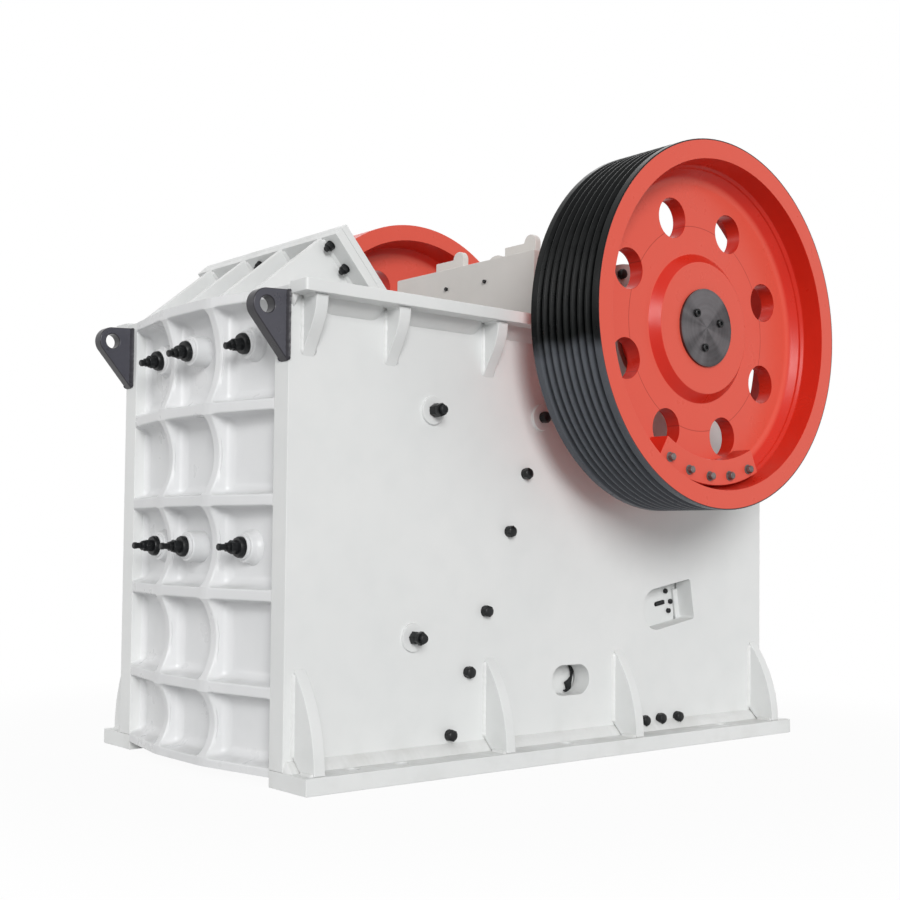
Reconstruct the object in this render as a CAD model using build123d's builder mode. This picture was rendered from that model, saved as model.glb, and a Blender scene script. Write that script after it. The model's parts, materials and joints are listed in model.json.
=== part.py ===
"""Single-toggle jaw crusher with a 900 x 1200 mm mouth, modelled in millimetres.

X runs along the main shaft, with the grooved sheave at +X. Y runs from the ribbed
front wall (-Y) to the rear wall. Z is up. The origin is the centre of the outer anchor
holes, on the underside of the base rails.
"""
import os
from math import asin, atan2, cos, hypot, radians, sin, tan

from build123d import *

os.makedirs("parts", exist_ok=True)

# Base rails and anchor bolts
base_length = 3315.0
rail_reach = 175.0
base_thickness = 75.0
anchor_hole_diameter = 64.0
anchor_edge = 95.0
front_anchor_setback = 303.0
second_anchor_setback = 578.0
third_anchor_setback = 1616.0
rear_anchor_setback = 2814.0

# Side plates
frame_top = 2140.0
side_thickness = 107.0
side_length = 3265.0
rear_edge_height = 1480.0
bearing_seat_land = 140.0

# Side plate openings: spring window and toggle-seat window
spring_window_setback = 1720.0
spring_window_rise = 19.0
spring_window_length = 265.0
spring_window_width = 150.0
toggle_window_lead = 40.0
toggle_window_rise = 9.0
toggle_window_reach = 295.0
toggle_window_width = 218.0
toggle_window_corner = 16.0
toggle_slope = 10.0

# Cheek plate bolt bosses on the side plates
boss_diameter = 130.0
boss_height = 14.0
upper_boss_setback = 794.0
upper_boss_drop = 484.0
lower_boss_setback = 691.0
lower_boss_height = 617.0
rear_boss_setback = 1495.0
rear_boss_drop = 468.0

# Base gussets and top flange
front_base_gusset_setback = 50.0
second_base_gusset_setback = 1135.0
third_base_gusset_setback = 2033.0
rear_base_gusset_setback = 3164.0
base_gusset_height = 432.0
base_gusset_reach = 160.0
base_gusset_thickness = 58.0
base_gusset_snipe = 56.0
base_gusset_bow = 40.0
flange_reach = 129.0
flange_thickness = 55.0
flange_rise = 12.0
flange_corner = 12.0
flange_end_gap = 20.0
front_top_gusset_setback = 68.0
middle_top_gusset_setback = 518.0
rear_top_gusset_setback = 1108.0
top_gusset_height = 258.0
top_gusset_reach = 104.0
top_gusset_thickness = 64.0
top_gusset_flare = 0.35

# Lifting lugs on the front corners
lug_thickness = 62.0
lug_height = 309.0
lug_drop = 23.0
lug_eye_reach = 108.0
lug_eye_drop = 76.0
lug_eye_diameter = 72.0
lug_nose_radius = 70.0

# Front wall: a bellied casting with three bays and five rows of cells
belly = 85.0
belly_flat = 420.0
wall_back_setback = 495.0
wall_bottom = 42.0
rib_thickness = 52.0
rib_count = 4
lowest_rib_height = 398.0
highest_rib_drop = 501.0
top_rib_thickness = 47.0
bottom_rib_thickness = 40.0
cell_depth = 112.0
side_cell_depth = 80.0
cell_corner = 20.0
scallop_depth = 55.0
jaw_bolt_offset = 393.0
upper_jaw_bolt_drop = 215.0
lower_jaw_bolt_row = 2
jaw_boss_diameter = 140.0
jaw_seat_setback = 8.0
middle_jaw_seat_setback = -58.0
jaw_ledge_height = 118.0

# Crushing chamber
chamber_width = 1200.0
gape = 900.0
jaw_top_drop = 80.0
open_setting = 165.0
open_setting_height = 200.0
jaw_plate_thickness = 130.0
tooth_depth = 46.0
tooth_pitch = 118.0
tooth_crest = 34.0
jaw_side_clearance = 7.0
jaw_top_margin = 65.0
jaw_clamp_thickness = 105.0
jaw_clamp_gap = 1.0
cheek_thickness = 35.0
cheek_setback = 4.0
cheek_rear_margin = 225.0
cheek_top_drop = 140.0
cheek_joint_height = 915.0
cheek_joint_gap = 4.0

# Shaft, bearings and eccentric
shaft_setback = 2105.0
shaft_drop = 16.0
throw = 20.0
journal_diameter = 300.0
eccentric_diameter = 380.0
wheel_seat_diameter = 280.0
running_clearance = 0.3
seat_clearance = 0.3
fit_clearance = 0.03
housing_diameter = 660.0
housing_flange_diameter = 780.0
housing_flange_thickness = 44.0
housing_nose_diameter = 560.0
housing_nose_length = 150.0
housing_inner_gap = 12.0

# Sheave and flywheel
wheel_diameter = 1802.0
rim_width = 429.0
rim_gap = 222.0
rim_edge_thickness = 96.0
rim_root_thickness = 118.0
web_recess = 171.0
web_thickness = 80.0
web_fillet = 45.0
rim_step_setback = 105.0
rim_step = 14.0
boss_root_diameter = 742.0
boss_face_diameter = 650.0
boss_rise = 43.0
hub_inner_diameter = 520.0
hub_running_gap = 8.0
web_hole_diameter = 196.0
web_hole_offset = 6.0
web_hole_count = 8
web_hole_phase = 20.4
groove_count = 8
groove_pitch = 45.0
groove_depth = 34.0
groove_top = 36.0
end_disc_diameter = 385.0
end_disc_thickness = 14.0
weight_depth = 128.0
weight_thickness = 108.0
weight_arc = 58.0
weight_centre_angle = -93.0
weight_rim_gap = 3.0

# Pitman, its guard and lifting ears
pitman_side_gap = 10.0
barrel_diameter = 780.0
pitman_foot_height = 190.0
pitman_foot_depth = 420.0
pitman_foot_flat = 250.0
pitman_slab = 170.0
pitman_rib_thickness = 66.0
pitman_rib_count = 4
pitman_neck_height = 1560.0
pitman_neck_depth = 520.0
guard_thickness = 24.0
guard_inset = 24.0
guard_end_thickness = 20.0
guard_front_reach = 500.0
guard_crest_reach = 495.0
guard_drop = 28.0
ear_offset = 294.0
ear_reach = 266.0
ear_height = 159.0
ear_tab_width = 90.0
ear_foot_width = 198.0
ear_foot_rise = 118.0
ear_thickness = 40.0
hump_diameter = 190.0
hump_length = 150.0
hump_reach = 170.0

# Toggle plate, its rear seat and the rear wall
toggle_thickness = 96.0
toggle_width = 1040.0
toggle_free_gap = 30.0
toggle_land_margin = 20.0
seat_setback = 2330.0
seat_height = 700.0
seat_depth = 275.0
seat_thickness = 250.0
seat_groove_depth = 30.0
seat_eye_length = 84.0
seat_eye_width = 24.0
seat_eye_depth = 40.0
seat_eye_inset = 104.0
wedge_pair_thickness = 66.0
wedge_thin_end = 18.0
wedge_height = 190.0
wedge_end_gap = 8.0
rear_wall_setback = 2760.0
rear_wall_thickness = 110.0
rear_wall_drop = 60.0
rear_rib_depth = 260.0
rear_rib_thickness = 70.0
lower_rear_rib_height = 560.0
upper_rear_rib_height = 920.0
thrust_height = 300.0

# Tension rods that hold the toggle in its seats, with their springs behind the rear wall
rod_offset = 420.0
rod_height = 350.0
rod_diameter = 60.0
rod_hole_diameter = 82.0
rod_eye_diameter = 100.0
rod_eye_thickness = 50.0
rod_eye_gap = 50.0
rod_end = 45.0
rod_nut_width = 95.0
rod_nut_length = 62.0
spring_diameter = 150.0
spring_length = 190.0
spring_plate_diameter = 176.0
spring_plate_thickness = 28.0

# Feed apron on top of the front wall
apron_side_gap = 21.0
apron_ridge_setback = 386.0
apron_rise = 341.0
apron_lip_setback = 688.0
apron_foot_setback = -28.0
apron_plate_thickness = 45.0
apron_liner_thickness = 34.0
apron_rib_thickness = 34.0
apron_rib_count = 4
apron_rib_inset = 108.0

# Places that follow from the sizes above
front = -(front_anchor_setback + rear_anchor_setback) / 2
inner_half = chamber_width / 2 + cheek_thickness
half_width = inner_half + side_thickness
base_half = half_width + rail_reach
shaft_y = front + shaft_setback
shaft_z = frame_top - shaft_drop
eccentric_z = shaft_z + throw
shaft_axis = Axis((0, shaft_y, shaft_z), (1, 0, 0))
shaft_profile_plane = Plane(origin=(0, shaft_y, shaft_z), x_dir=(1, 0, 0), z_dir=(0, -1, 0))
shaft_face_plane = Plane(origin=(0, shaft_y, shaft_z), x_dir=(0, 1, 0), z_dir=(1, 0, 0))
eccentric_plane = Plane(origin=(0, shaft_y, eccentric_z), x_dir=(0, 1, 0), z_dir=(1, 0, 0))
wheel_radius = wheel_diameter / 2
rim_inner_x = half_width + rim_gap
rim_outer_x = rim_inner_x + rim_width
web_outer_x = rim_outer_x - web_recess
web_inner_x = web_outer_x - web_thickness
hub_outer_x = web_outer_x + boss_rise
housing_outer_x = half_width + housing_flange_thickness + housing_nose_length
hub_inner_x = housing_outer_x + hub_running_gap
gape_height = frame_top - jaw_top_drop
jaw_face_y = front + wall_back_setback + jaw_plate_thickness
jaw_lean = atan2(gape - open_setting, gape_height - open_setting_height)
slope = radians(toggle_slope)
pitman_half = chamber_width / 2 - pitman_side_gap
apron_half_width = inner_half - apron_side_gap
guard_half_width = pitman_half - guard_inset


def save(piece, label):
    """Name a finished piece and write it to its own file."""
    piece.part.label = label
    export_step(piece.part, "parts/" + label + ".step")


def save_pair(right_piece, label):
    """Write a piece of the right-hand side and its mirror image on the left."""
    save(right_piece, "right_" + label)
    with BuildPart() as left_piece:
        mirror(right_piece.part, about=Plane.YZ)
    save(left_piece, "left_" + label)


def moving_face_y(height, depth=0.0):
    """Y of the swing jaw's crushing face at a height, or of a plane behind that face."""
    return jaw_face_y + gape + (height - gape_height) * tan(jaw_lean) + depth / cos(jaw_lean)


# Base rails: thick flat bars under the side plates, drilled for the anchor bolts
anchor_setbacks = (front_anchor_setback, second_anchor_setback, third_anchor_setback, rear_anchor_setback)
with BuildPart() as base_rail:
    with BuildSketch():
        with Locations(((inner_half + base_half) / 2, front + base_length / 2)):
            Rectangle(base_half - inner_half, base_length)
        with Locations(*[(base_half - anchor_edge, front + s) for s in anchor_setbacks]):
            Circle(anchor_hole_diameter / 2, mode=Mode.SUBTRACT)
    extrude(amount=base_thickness)
save_pair(base_rail, "base_rail")

# Side plates: the seat for the bearing housing is cut in the top edge, and the rear corner slopes
seat_rear_y = shaft_y + housing_diameter / 2 + bearing_seat_land
toggle_window_half = toggle_window_width / 2
toggle_window_plane = Plane(
    origin=(inner_half, front + seat_setback + toggle_window_lead, seat_height + toggle_window_rise),
    x_dir=(0, cos(slope), sin(slope)),
    z_dir=(1, 0, 0),
)
with BuildPart() as side_plate:
    with BuildSketch(Plane.YZ.offset(inner_half)):
        with BuildLine():
            Polyline(
                (front, base_thickness),
                (front + side_length, base_thickness),
                (front + side_length, rear_edge_height),
                (seat_rear_y, frame_top),
                (front, frame_top),
                close=True,
            )
        make_face()
        with Locations((shaft_y, shaft_z)):
            Circle(housing_diameter / 2 + seat_clearance, mode=Mode.SUBTRACT)
        with Locations((front + spring_window_setback, rod_height + spring_window_rise)):
            SlotOverall(spring_window_length, spring_window_width, mode=Mode.SUBTRACT)
    extrude(amount=side_thickness)
    with BuildSketch(toggle_window_plane) as toggle_window:
        with BuildLine():
            Polyline(
                (0, -toggle_window_half),
                (toggle_window_reach, -toggle_window_half),
                (toggle_window_reach, toggle_window_half),
                (0, toggle_window_half),
            )
            ThreePointArc((0, toggle_window_half), (-toggle_window_half, 0), (0, -toggle_window_half))
        make_face()
        fillet(toggle_window.vertices().group_by(Axis.X)[-1], toggle_window_corner)
    extrude(amount=side_thickness, mode=Mode.SUBTRACT)
    with BuildSketch(Plane.YZ.offset(half_width)):
        with Locations(
            (front + upper_boss_setback, frame_top - upper_boss_drop),
            (front + lower_boss_setback, lower_boss_height),
            (front + rear_boss_setback, frame_top - rear_boss_drop),
        ):
            Circle(boss_diameter / 2)
    extrude(amount=boss_height)
save_pair(side_plate, "side_plate")

# Base gussets: plates with a bowed outer edge that stand on the rails against the side plates
foot = Vector(half_width + base_gusset_reach, base_thickness)
peak = Vector(half_width, base_thickness + base_gusset_height)
chord = (peak - foot).normalized()
bow = (foot + peak) / 2 + Vector(chord.Y, -chord.X) * base_gusset_bow
with BuildPart() as base_gussets:
    for setback in (
        front_base_gusset_setback,
        second_base_gusset_setback,
        third_base_gusset_setback,
        rear_base_gusset_setback,
    ):
        with BuildSketch(Plane.XZ.offset(-(front + setback))):
            with BuildLine():
                Polyline(
                    peak,
                    (half_width, base_thickness + base_gusset_snipe),
                    (half_width + base_gusset_snipe, base_thickness),
                    foot,
                )
                ThreePointArc(foot, bow, peak)
            make_face()
        extrude(amount=-base_gusset_thickness)
save_pair(base_gussets, "base_gussets")

# Top flange: a thick flat bar along the upper edge of the side plate, standing a little above it
flange_length = shaft_setback - housing_flange_diameter / 2 - flange_end_gap
flange_underside = frame_top + flange_rise - flange_thickness
with BuildPart() as top_flange:
    with BuildSketch(Plane.XY.offset(flange_underside)):
        with BuildLine():
            Polyline(
                (half_width + flange_reach - flange_corner, front),
                (half_width, front),
                (half_width, front + flange_length),
                (half_width + flange_reach, front + flange_length),
                (half_width + flange_reach, front + flange_corner),
            )
            RadiusArc(
                (half_width + flange_reach, front + flange_corner),
                (half_width + flange_reach - flange_corner, front),
                flange_corner,
            )
        make_face()
    extrude(amount=flange_thickness)
save_pair(top_flange, "top_flange")

# Top gussets: curved brackets under the top flange
with BuildPart() as top_gussets:
    for setback in (front_top_gusset_setback, middle_top_gusset_setback, rear_top_gusset_setback):
        gusset_tip = (half_width, flange_underside - top_gusset_height)
        gusset_heel = (half_width + top_gusset_reach, flange_underside)
        with BuildSketch(Plane.XZ.offset(-(front + setback))):
            with BuildLine():
                Polyline(gusset_tip, (half_width, flange_underside), gusset_heel)
                Spline(gusset_heel, gusset_tip, tangents=((0, -1), (-top_gusset_flare, -1)))
            make_face()
        extrude(amount=-top_gusset_thickness)
save_pair(top_gussets, "top_gussets")

# Lifting lugs: thick triangular plates on the front edges of the side plates
lug_root_top = frame_top - lug_drop
eye_y = front - lug_eye_reach
eye_z = lug_root_top - lug_eye_drop
lug_tip = (front, lug_root_top - lug_height)
with BuildPart() as lifting_lug:
    with BuildSketch(Plane.YZ.offset(half_width - lug_thickness)):
        with BuildLine():
            tip_run = hypot(lug_tip[0] - eye_y, lug_tip[1] - eye_z)
            tip_bearing = atan2(lug_tip[1] - eye_z, lug_tip[0] - eye_y)
            nose_low = tip_bearing - (radians(90) - asin(lug_nose_radius / tip_run))
            nose_start = (eye_y + lug_nose_radius * cos(nose_low), eye_z + lug_nose_radius * sin(nose_low))
            nose_half = (nose_low + radians(360) + radians(90)) / 2
            nose_middle = (eye_y + lug_nose_radius * cos(nose_half), eye_z + lug_nose_radius * sin(nose_half))
            nose_end = (eye_y, eye_z + lug_nose_radius)
            Polyline(nose_end, (front, lug_root_top), lug_tip, nose_start)
            ThreePointArc(nose_start, nose_middle, nose_end)
        make_face()
        with Locations((eye_y, eye_z)):
            Circle(lug_eye_diameter / 2, mode=Mode.SUBTRACT)
    extrude(amount=lug_thickness)
save_pair(lifting_lug, "lifting_lug")

# Front wall: bellied in plan, with rounded cells between the ribs, scalloped upright ribs,
# bosses for the jaw bolts and a ledge that carries the fixed jaw plate
wall_back = front + wall_back_setback
flat_half = belly_flat / 2
rib_pitch = (frame_top - highest_rib_drop - lowest_rib_height) / (rib_count - 1)
row_edges = [wall_bottom + bottom_rib_thickness]
for index in range(rib_count):
    rib_height = lowest_rib_height + index * rib_pitch
    row_edges += [rib_height - rib_thickness / 2, rib_height + rib_thickness / 2]
row_edges.append(frame_top - top_rib_thickness)
rows = list(zip(row_edges[0::2], row_edges[1::2]))
jaw_bolt_heights = (frame_top - upper_jaw_bolt_drop, sum(rows[lower_jaw_bolt_row]) / 2)
bay_inner = flat_half - rib_thickness / 2
bay_outer = flat_half + rib_thickness / 2
with BuildPart() as front_wall:
    with BuildSketch(Plane.XY.offset(wall_bottom)):
        with BuildLine():
            Polyline(
                (-inner_half, wall_back),
                (-inner_half, front),
                (-flat_half, front - belly),
                (flat_half, front - belly),
                (inner_half, front),
                (inner_half, wall_back),
                close=True,
            )
        make_face()
    extrude(amount=frame_top - wall_bottom)
    with BuildSketch(Plane.XZ.offset(-(front + side_cell_depth))):
        for low, high in rows:
            with Locations((0, (low + high) / 2)):
                RectangleRounded(2 * bay_inner, high - low, cell_corner)
            with Locations(*[(side * (bay_outer + inner_half) / 2, (low + high) / 2) for side in (-1, 1)]):
                RectangleRounded(inner_half - bay_outer, high - low, cell_corner)
    extrude(amount=side_cell_depth + belly, mode=Mode.SUBTRACT)
    with BuildSketch(Plane.XY.offset(wall_bottom)):
        with BuildLine():
            Polyline(
                (-inner_half, front + side_cell_depth),
                (-bay_outer, front - belly + cell_depth),
                (bay_outer, front - belly + cell_depth),
                (inner_half, front + side_cell_depth),
                close=True,
            )
        make_face()
    extrude(amount=frame_top - wall_bottom)
    for low, high in rows:
        scallop_radius = ((high - low) ** 2 / 4 + scallop_depth**2) / (2 * scallop_depth)
        scallop_y = front - belly + scallop_depth - scallop_radius
        with BuildSketch(Plane.YZ.offset(-bay_outer)):
            with Locations((scallop_y, (low + high) / 2)):
                Circle(scallop_radius)
        extrude(amount=2 * bay_outer, mode=Mode.SUBTRACT)
    for x, boss_setback in (
        (-jaw_bolt_offset, jaw_seat_setback),
        (0.0, middle_jaw_seat_setback),
        (jaw_bolt_offset, jaw_seat_setback),
    ):
        with BuildSketch(Plane.XZ.offset(-(front + side_cell_depth))):
            with Locations(*[(x, z) for z in jaw_bolt_heights]):
                Circle(jaw_boss_diameter / 2)
        extrude(amount=side_cell_depth - boss_setback)
    with BuildSketch(Plane.XY.offset(wall_bottom)):
        with Locations((0, wall_back + jaw_plate_thickness / 2)):
            Rectangle(2 * inner_half, jaw_plate_thickness)
    extrude(amount=jaw_ledge_height)
save(front_wall, "front_wall")


def toothed_section(half_length, thickness):
    """Plan section of a jaw plate: flat back on y = 0, rounded teeth reaching y = thickness."""
    tooth_count = int(2 * half_length // tooth_pitch)
    start_x = -tooth_count * tooth_pitch / 2
    valley_y = thickness - tooth_depth
    with BuildSketch() as section:
        with BuildLine():
            Polyline(
                (-start_x, valley_y),
                (half_length, valley_y),
                (half_length, 0),
                (-half_length, 0),
                (-half_length, valley_y),
                (start_x, valley_y),
            )
            for tooth in range(tooth_count):
                left_x = start_x + tooth * tooth_pitch
                middle_x = left_x + tooth_pitch / 2
                Polyline(
                    (left_x, valley_y),
                    (middle_x - tooth_crest / 2, thickness),
                    (middle_x + tooth_crest / 2, thickness),
                    (left_x + tooth_pitch, valley_y),
                )
        make_face()
    return section.sketch


# Fixed jaw plate: an upright toothed casting against the back of the front wall
jaw_half = chamber_width / 2 - jaw_side_clearance
fixed_jaw_bottom = wall_bottom + jaw_ledge_height
with BuildPart() as fixed_jaw_plate:
    with BuildSketch(Plane(origin=(0, wall_back, fixed_jaw_bottom), x_dir=(1, 0, 0), z_dir=(0, 0, 1))):
        add(toothed_section(jaw_half, jaw_plate_thickness))
    extrude(amount=gape_height - fixed_jaw_bottom)
save(fixed_jaw_plate, "fixed_jaw_plate")

# Cheek plates: upper and lower liners bolted to the inner faces of the side plates
cheek_front_y = jaw_face_y + cheek_setback
for level, low, high in (
    ("lower", fixed_jaw_bottom, cheek_joint_height - cheek_joint_gap / 2),
    ("upper", cheek_joint_height + cheek_joint_gap / 2, frame_top - cheek_top_drop),
):
    with BuildPart() as cheek_plate:
        with BuildSketch(Plane.YZ.offset(inner_half - cheek_thickness)):
            with BuildLine():
                Polyline(
                    (cheek_front_y, low),
                    (moving_face_y(low, cheek_rear_margin), low),
                    (moving_face_y(high, cheek_rear_margin), high),
                    (cheek_front_y, high),
                    close=True,
                )
            make_face()
        extrude(amount=cheek_thickness)
    save_pair(cheek_plate, level + "_cheek_plate")

# Feed apron: triangular ribs on the front wall carry an inclined plate with a wear liner
ridge = Vector(front + apron_ridge_setback, frame_top + apron_rise)
lip = Vector(front + apron_lip_setback, frame_top)
fall = (lip - ridge).normalized()
inward = Vector(fall.Y, -fall.X)
plate_back = apron_plate_thickness + apron_liner_thickness


def apron_slab(near, far):
    """Section of a slab parallel to the apron, cut level where it meets the frame top."""
    start_top = ridge + inward * near
    end_top = ridge + inward * far
    run = (lip - ridge).length
    start_low = start_top + fall * (run * (start_top.Y - frame_top) / (ridge.Y - frame_top))
    end_low = end_top + fall * (run * (end_top.Y - frame_top) / (ridge.Y - frame_top))
    return [(v.X, v.Y) for v in (start_top, start_low, end_low, end_top)]


for label, near, far in (
    ("feed_apron_liner", 0.0, apron_liner_thickness),
    ("feed_apron_plate", apron_liner_thickness, plate_back),
):
    with BuildPart() as apron_piece:
        with BuildSketch(Plane.YZ.offset(-apron_half_width)):
            with BuildLine():
                Polyline(*apron_slab(near, far), close=True)
            make_face()
        extrude(amount=2 * apron_half_width)
    save(apron_piece, label)

rib_top, rib_low = apron_slab(plate_back, plate_back)[:2]
first_apron_rib_x = apron_rib_inset - apron_half_width
apron_rib_step = (-2 * first_apron_rib_x - apron_rib_thickness) / (apron_rib_count - 1)
with BuildPart() as apron_ribs:
    for index in range(apron_rib_count):
        with BuildSketch(Plane.YZ.offset(first_apron_rib_x + index * apron_rib_step)):
            with BuildLine():
                Polyline((front + apron_foot_setback, frame_top), rib_low, rib_top, close=True)
            make_face()
        extrude(amount=apron_rib_thickness)
save(apron_ribs, "feed_apron_ribs")

# Bearing housings: round bodies in the seats of the side plates, bolted on by an outer flange
housing_inner_x = chamber_width / 2 + housing_inner_gap
with BuildPart() as bearing_housing:
    with BuildSketch(shaft_profile_plane):
        with BuildLine():
            Polyline(
                (housing_inner_x, journal_diameter / 2 + running_clearance),
                (housing_outer_x, journal_diameter / 2 + running_clearance),
                (housing_outer_x, housing_nose_diameter / 2),
                (half_width + housing_flange_thickness, housing_nose_diameter / 2),
                (half_width + housing_flange_thickness, housing_flange_diameter / 2),
                (half_width, housing_flange_diameter / 2),
                (half_width, housing_diameter / 2),
                (housing_inner_x, housing_diameter / 2),
                close=True,
            )
        make_face()
    revolve(axis=shaft_axis)
save_pair(bearing_housing, "bearing_housing")

# Eccentric shaft: two journals, two wheel seats and the offset middle that drives the pitman
with BuildPart() as eccentric_shaft:
    with BuildSketch(shaft_face_plane.offset(-hub_outer_x)):
        Circle(wheel_seat_diameter / 2)
    extrude(amount=2 * hub_outer_x)
    with BuildSketch(shaft_face_plane.offset(-hub_inner_x)):
        Circle(journal_diameter / 2)
    extrude(amount=2 * hub_inner_x)
    with BuildSketch(eccentric_plane.offset(-pitman_half)):
        Circle(eccentric_diameter / 2)
    extrude(amount=2 * pitman_half)
save(eccentric_shaft, "eccentric_shaft")


def wheel_section(grooved):
    """Half section of a wheel on the shaft plane: hub, web, and plain or grooved rim."""
    bore = wheel_seat_diameter / 2 + fit_clearance
    root_radius = wheel_radius - rim_root_thickness
    edge_radius = wheel_radius - rim_edge_thickness
    first_groove = rim_inner_x + (rim_width - (groove_count - 1) * groove_pitch) / 2
    with BuildSketch(shaft_profile_plane) as section:
        with BuildLine():
            Polyline(
                (rim_inner_x, wheel_radius),
                (rim_inner_x, edge_radius),
                (web_inner_x - web_fillet, root_radius),
                (web_inner_x, root_radius - web_fillet),
                (web_inner_x, boss_root_diameter / 2),
                (web_inner_x - boss_rise, hub_inner_diameter / 2),
                (hub_inner_x, hub_inner_diameter / 2),
                (hub_inner_x, bore),
                (hub_outer_x, bore),
                (hub_outer_x, boss_face_diameter / 2),
                (web_outer_x, boss_root_diameter / 2),
                (web_outer_x, root_radius - web_fillet),
                (web_outer_x + web_fillet, root_radius),
                (rim_outer_x - rim_step_setback - rim_step, root_radius),
                (rim_outer_x - rim_step_setback, root_radius + rim_step),
                (rim_outer_x, edge_radius),
                (rim_outer_x, wheel_radius),
            )
            previous = (rim_inner_x, wheel_radius)
            for groove in range(groove_count if grooved else 0):
                middle = first_groove + groove * groove_pitch
                Polyline(
                    previous,
                    (middle - groove_top / 2, wheel_radius),
                    (middle, wheel_radius - groove_depth),
                    (middle + groove_top / 2, wheel_radius),
                )
                previous = (middle + groove_top / 2, wheel_radius)
            Line(previous, (rim_outer_x, wheel_radius))
        make_face()
    return section.sketch


def wheel(grooved):
    """A whole wheel on the sheave side, with the round lightening holes in its web."""
    web_middle = (boss_root_diameter / 2 + wheel_radius - rim_root_thickness - web_fillet) / 2
    with BuildPart() as turned:
        add(wheel_section(grooved))
        revolve(axis=shaft_axis)
        with BuildSketch(shaft_face_plane.offset(web_inner_x)):
            with PolarLocations(web_middle + web_hole_offset, web_hole_count, start_angle=web_hole_phase):
                Circle(web_hole_diameter / 2)
        extrude(amount=web_thickness, mode=Mode.SUBTRACT)
    return turned.part


# Drive sheave at +X, with grooves for the belts, and the plain flywheel at -X
with BuildPart() as drive_sheave:
    add(wheel(True))
save(drive_sheave, "drive_sheave")
with BuildPart() as flywheel:
    mirror(wheel(False), about=Plane.YZ)
save(flywheel, "flywheel")

# Counterweights: arc segments bolted to the web at the bottom of each wheel, just clear of the rim
weight_start = weight_centre_angle - weight_arc / 2
weight_plane = Plane(
    origin=(0, shaft_y, shaft_z),
    x_dir=(1, 0, 0),
    z_dir=(0, -sin(radians(weight_start)), cos(radians(weight_start))),
)
root_radius = wheel_radius - rim_root_thickness
weight_inner_radius = root_radius - weight_depth
with BuildPart() as sheave_weight:
    with BuildSketch(weight_plane):
        with BuildLine():
            outer_face_x = web_outer_x + weight_thickness
            Polyline(
                (web_outer_x, weight_inner_radius),
                (web_outer_x, root_radius - web_fillet - weight_rim_gap),
                (web_outer_x + web_fillet, root_radius - weight_rim_gap),
                (outer_face_x, root_radius - weight_rim_gap),
                (outer_face_x, weight_inner_radius),
                close=True,
            )
        make_face()
    revolve(axis=shaft_axis, revolution_arc=weight_arc)
save(sheave_weight, "sheave_counterweight")
with BuildPart() as flywheel_weight:
    mirror(sheave_weight.part, about=Plane.YZ)
save(flywheel_weight, "flywheel_counterweight")

# End discs: turned plates bolted to the shaft ends to hold the wheels on
with BuildPart() as end_disc:
    with BuildSketch(shaft_face_plane.offset(hub_outer_x)):
        Circle(end_disc_diameter / 2)
    extrude(amount=end_disc_thickness)
save(end_disc, "sheave_end_disc")
with BuildPart() as flywheel_disc:
    mirror(end_disc.part, about=Plane.YZ)
save(flywheel_disc, "flywheel_end_disc")

# Pitman: the swinging casting, a barrel on the eccentric, a slab behind the jaw plate, a foot
# that takes the toggle's thrust, and upright ribs between them
toggle_end_radius = toggle_thickness / 2
foot_front_y = moving_face_y(pitman_foot_height, jaw_plate_thickness)
toggle_face_y = foot_front_y + pitman_foot_depth
toggle_front_y = toggle_face_y + toggle_free_gap + toggle_end_radius
toggle_span = (front + seat_setback - toggle_front_y) / cos(slope)
land_middle = seat_height - toggle_span * sin(slope) + throw
land_half = toggle_end_radius + 2 * throw + toggle_land_margin
slab_back = jaw_plate_thickness + pitman_slab
neck_y = moving_face_y(pitman_neck_height, jaw_plate_thickness + pitman_neck_depth)
shoulder_y = moving_face_y(gape_height, jaw_plate_thickness)
pitman_rib_step = (2 * pitman_half - pitman_rib_thickness) / (pitman_rib_count - 1)
with BuildPart() as pitman:
    with BuildSketch(Plane.YZ.offset(-pitman_half)):
        with BuildLine():
            Polyline(
                (shoulder_y, gape_height),
                (foot_front_y, pitman_foot_height),
                (foot_front_y + pitman_foot_flat, pitman_foot_height),
                (toggle_face_y, land_middle - land_half),
                (toggle_face_y, land_middle + land_half),
                (moving_face_y(land_middle + land_half, slab_back), land_middle + land_half),
                (moving_face_y(gape_height, slab_back), gape_height),
                close=True,
            )
        make_face()
        with Locations((shaft_y, eccentric_z)):
            Circle(barrel_diameter / 2)
    extrude(amount=2 * pitman_half)
    for index in range(pitman_rib_count):
        with BuildSketch(Plane.YZ.offset(-pitman_half + index * pitman_rib_step)):
            with BuildLine():
                Polyline(
                    (shoulder_y, gape_height),
                    (foot_front_y, pitman_foot_height),
                    (toggle_face_y, land_middle + land_half),
                    (neck_y, pitman_neck_height),
                    (shaft_y + barrel_diameter / 2, eccentric_z),
                    (shaft_y, eccentric_z),
                    close=True,
                )
            make_face()
        extrude(amount=pitman_rib_thickness)
    with BuildSketch(eccentric_plane.offset(-pitman_half)):
        Circle(eccentric_diameter / 2 + running_clearance)
    extrude(amount=2 * pitman_half, mode=Mode.SUBTRACT)
save(pitman, "pitman")

# Moving jaw plate: toothed, on the front face of the pitman
jaw_plane = Plane(
    origin=(0, moving_face_y(open_setting_height, jaw_plate_thickness), open_setting_height),
    x_dir=(-1, 0, 0),
    z_dir=(0, sin(jaw_lean), cos(jaw_lean)),
)
jaw_face_length = (gape_height - open_setting_height) / cos(jaw_lean)
with BuildPart() as moving_jaw_plate:
    with BuildSketch(jaw_plane):
        add(toothed_section(jaw_half, jaw_plate_thickness))
    extrude(amount=jaw_face_length - jaw_top_margin)
save(moving_jaw_plate, "moving_jaw_plate")

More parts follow.
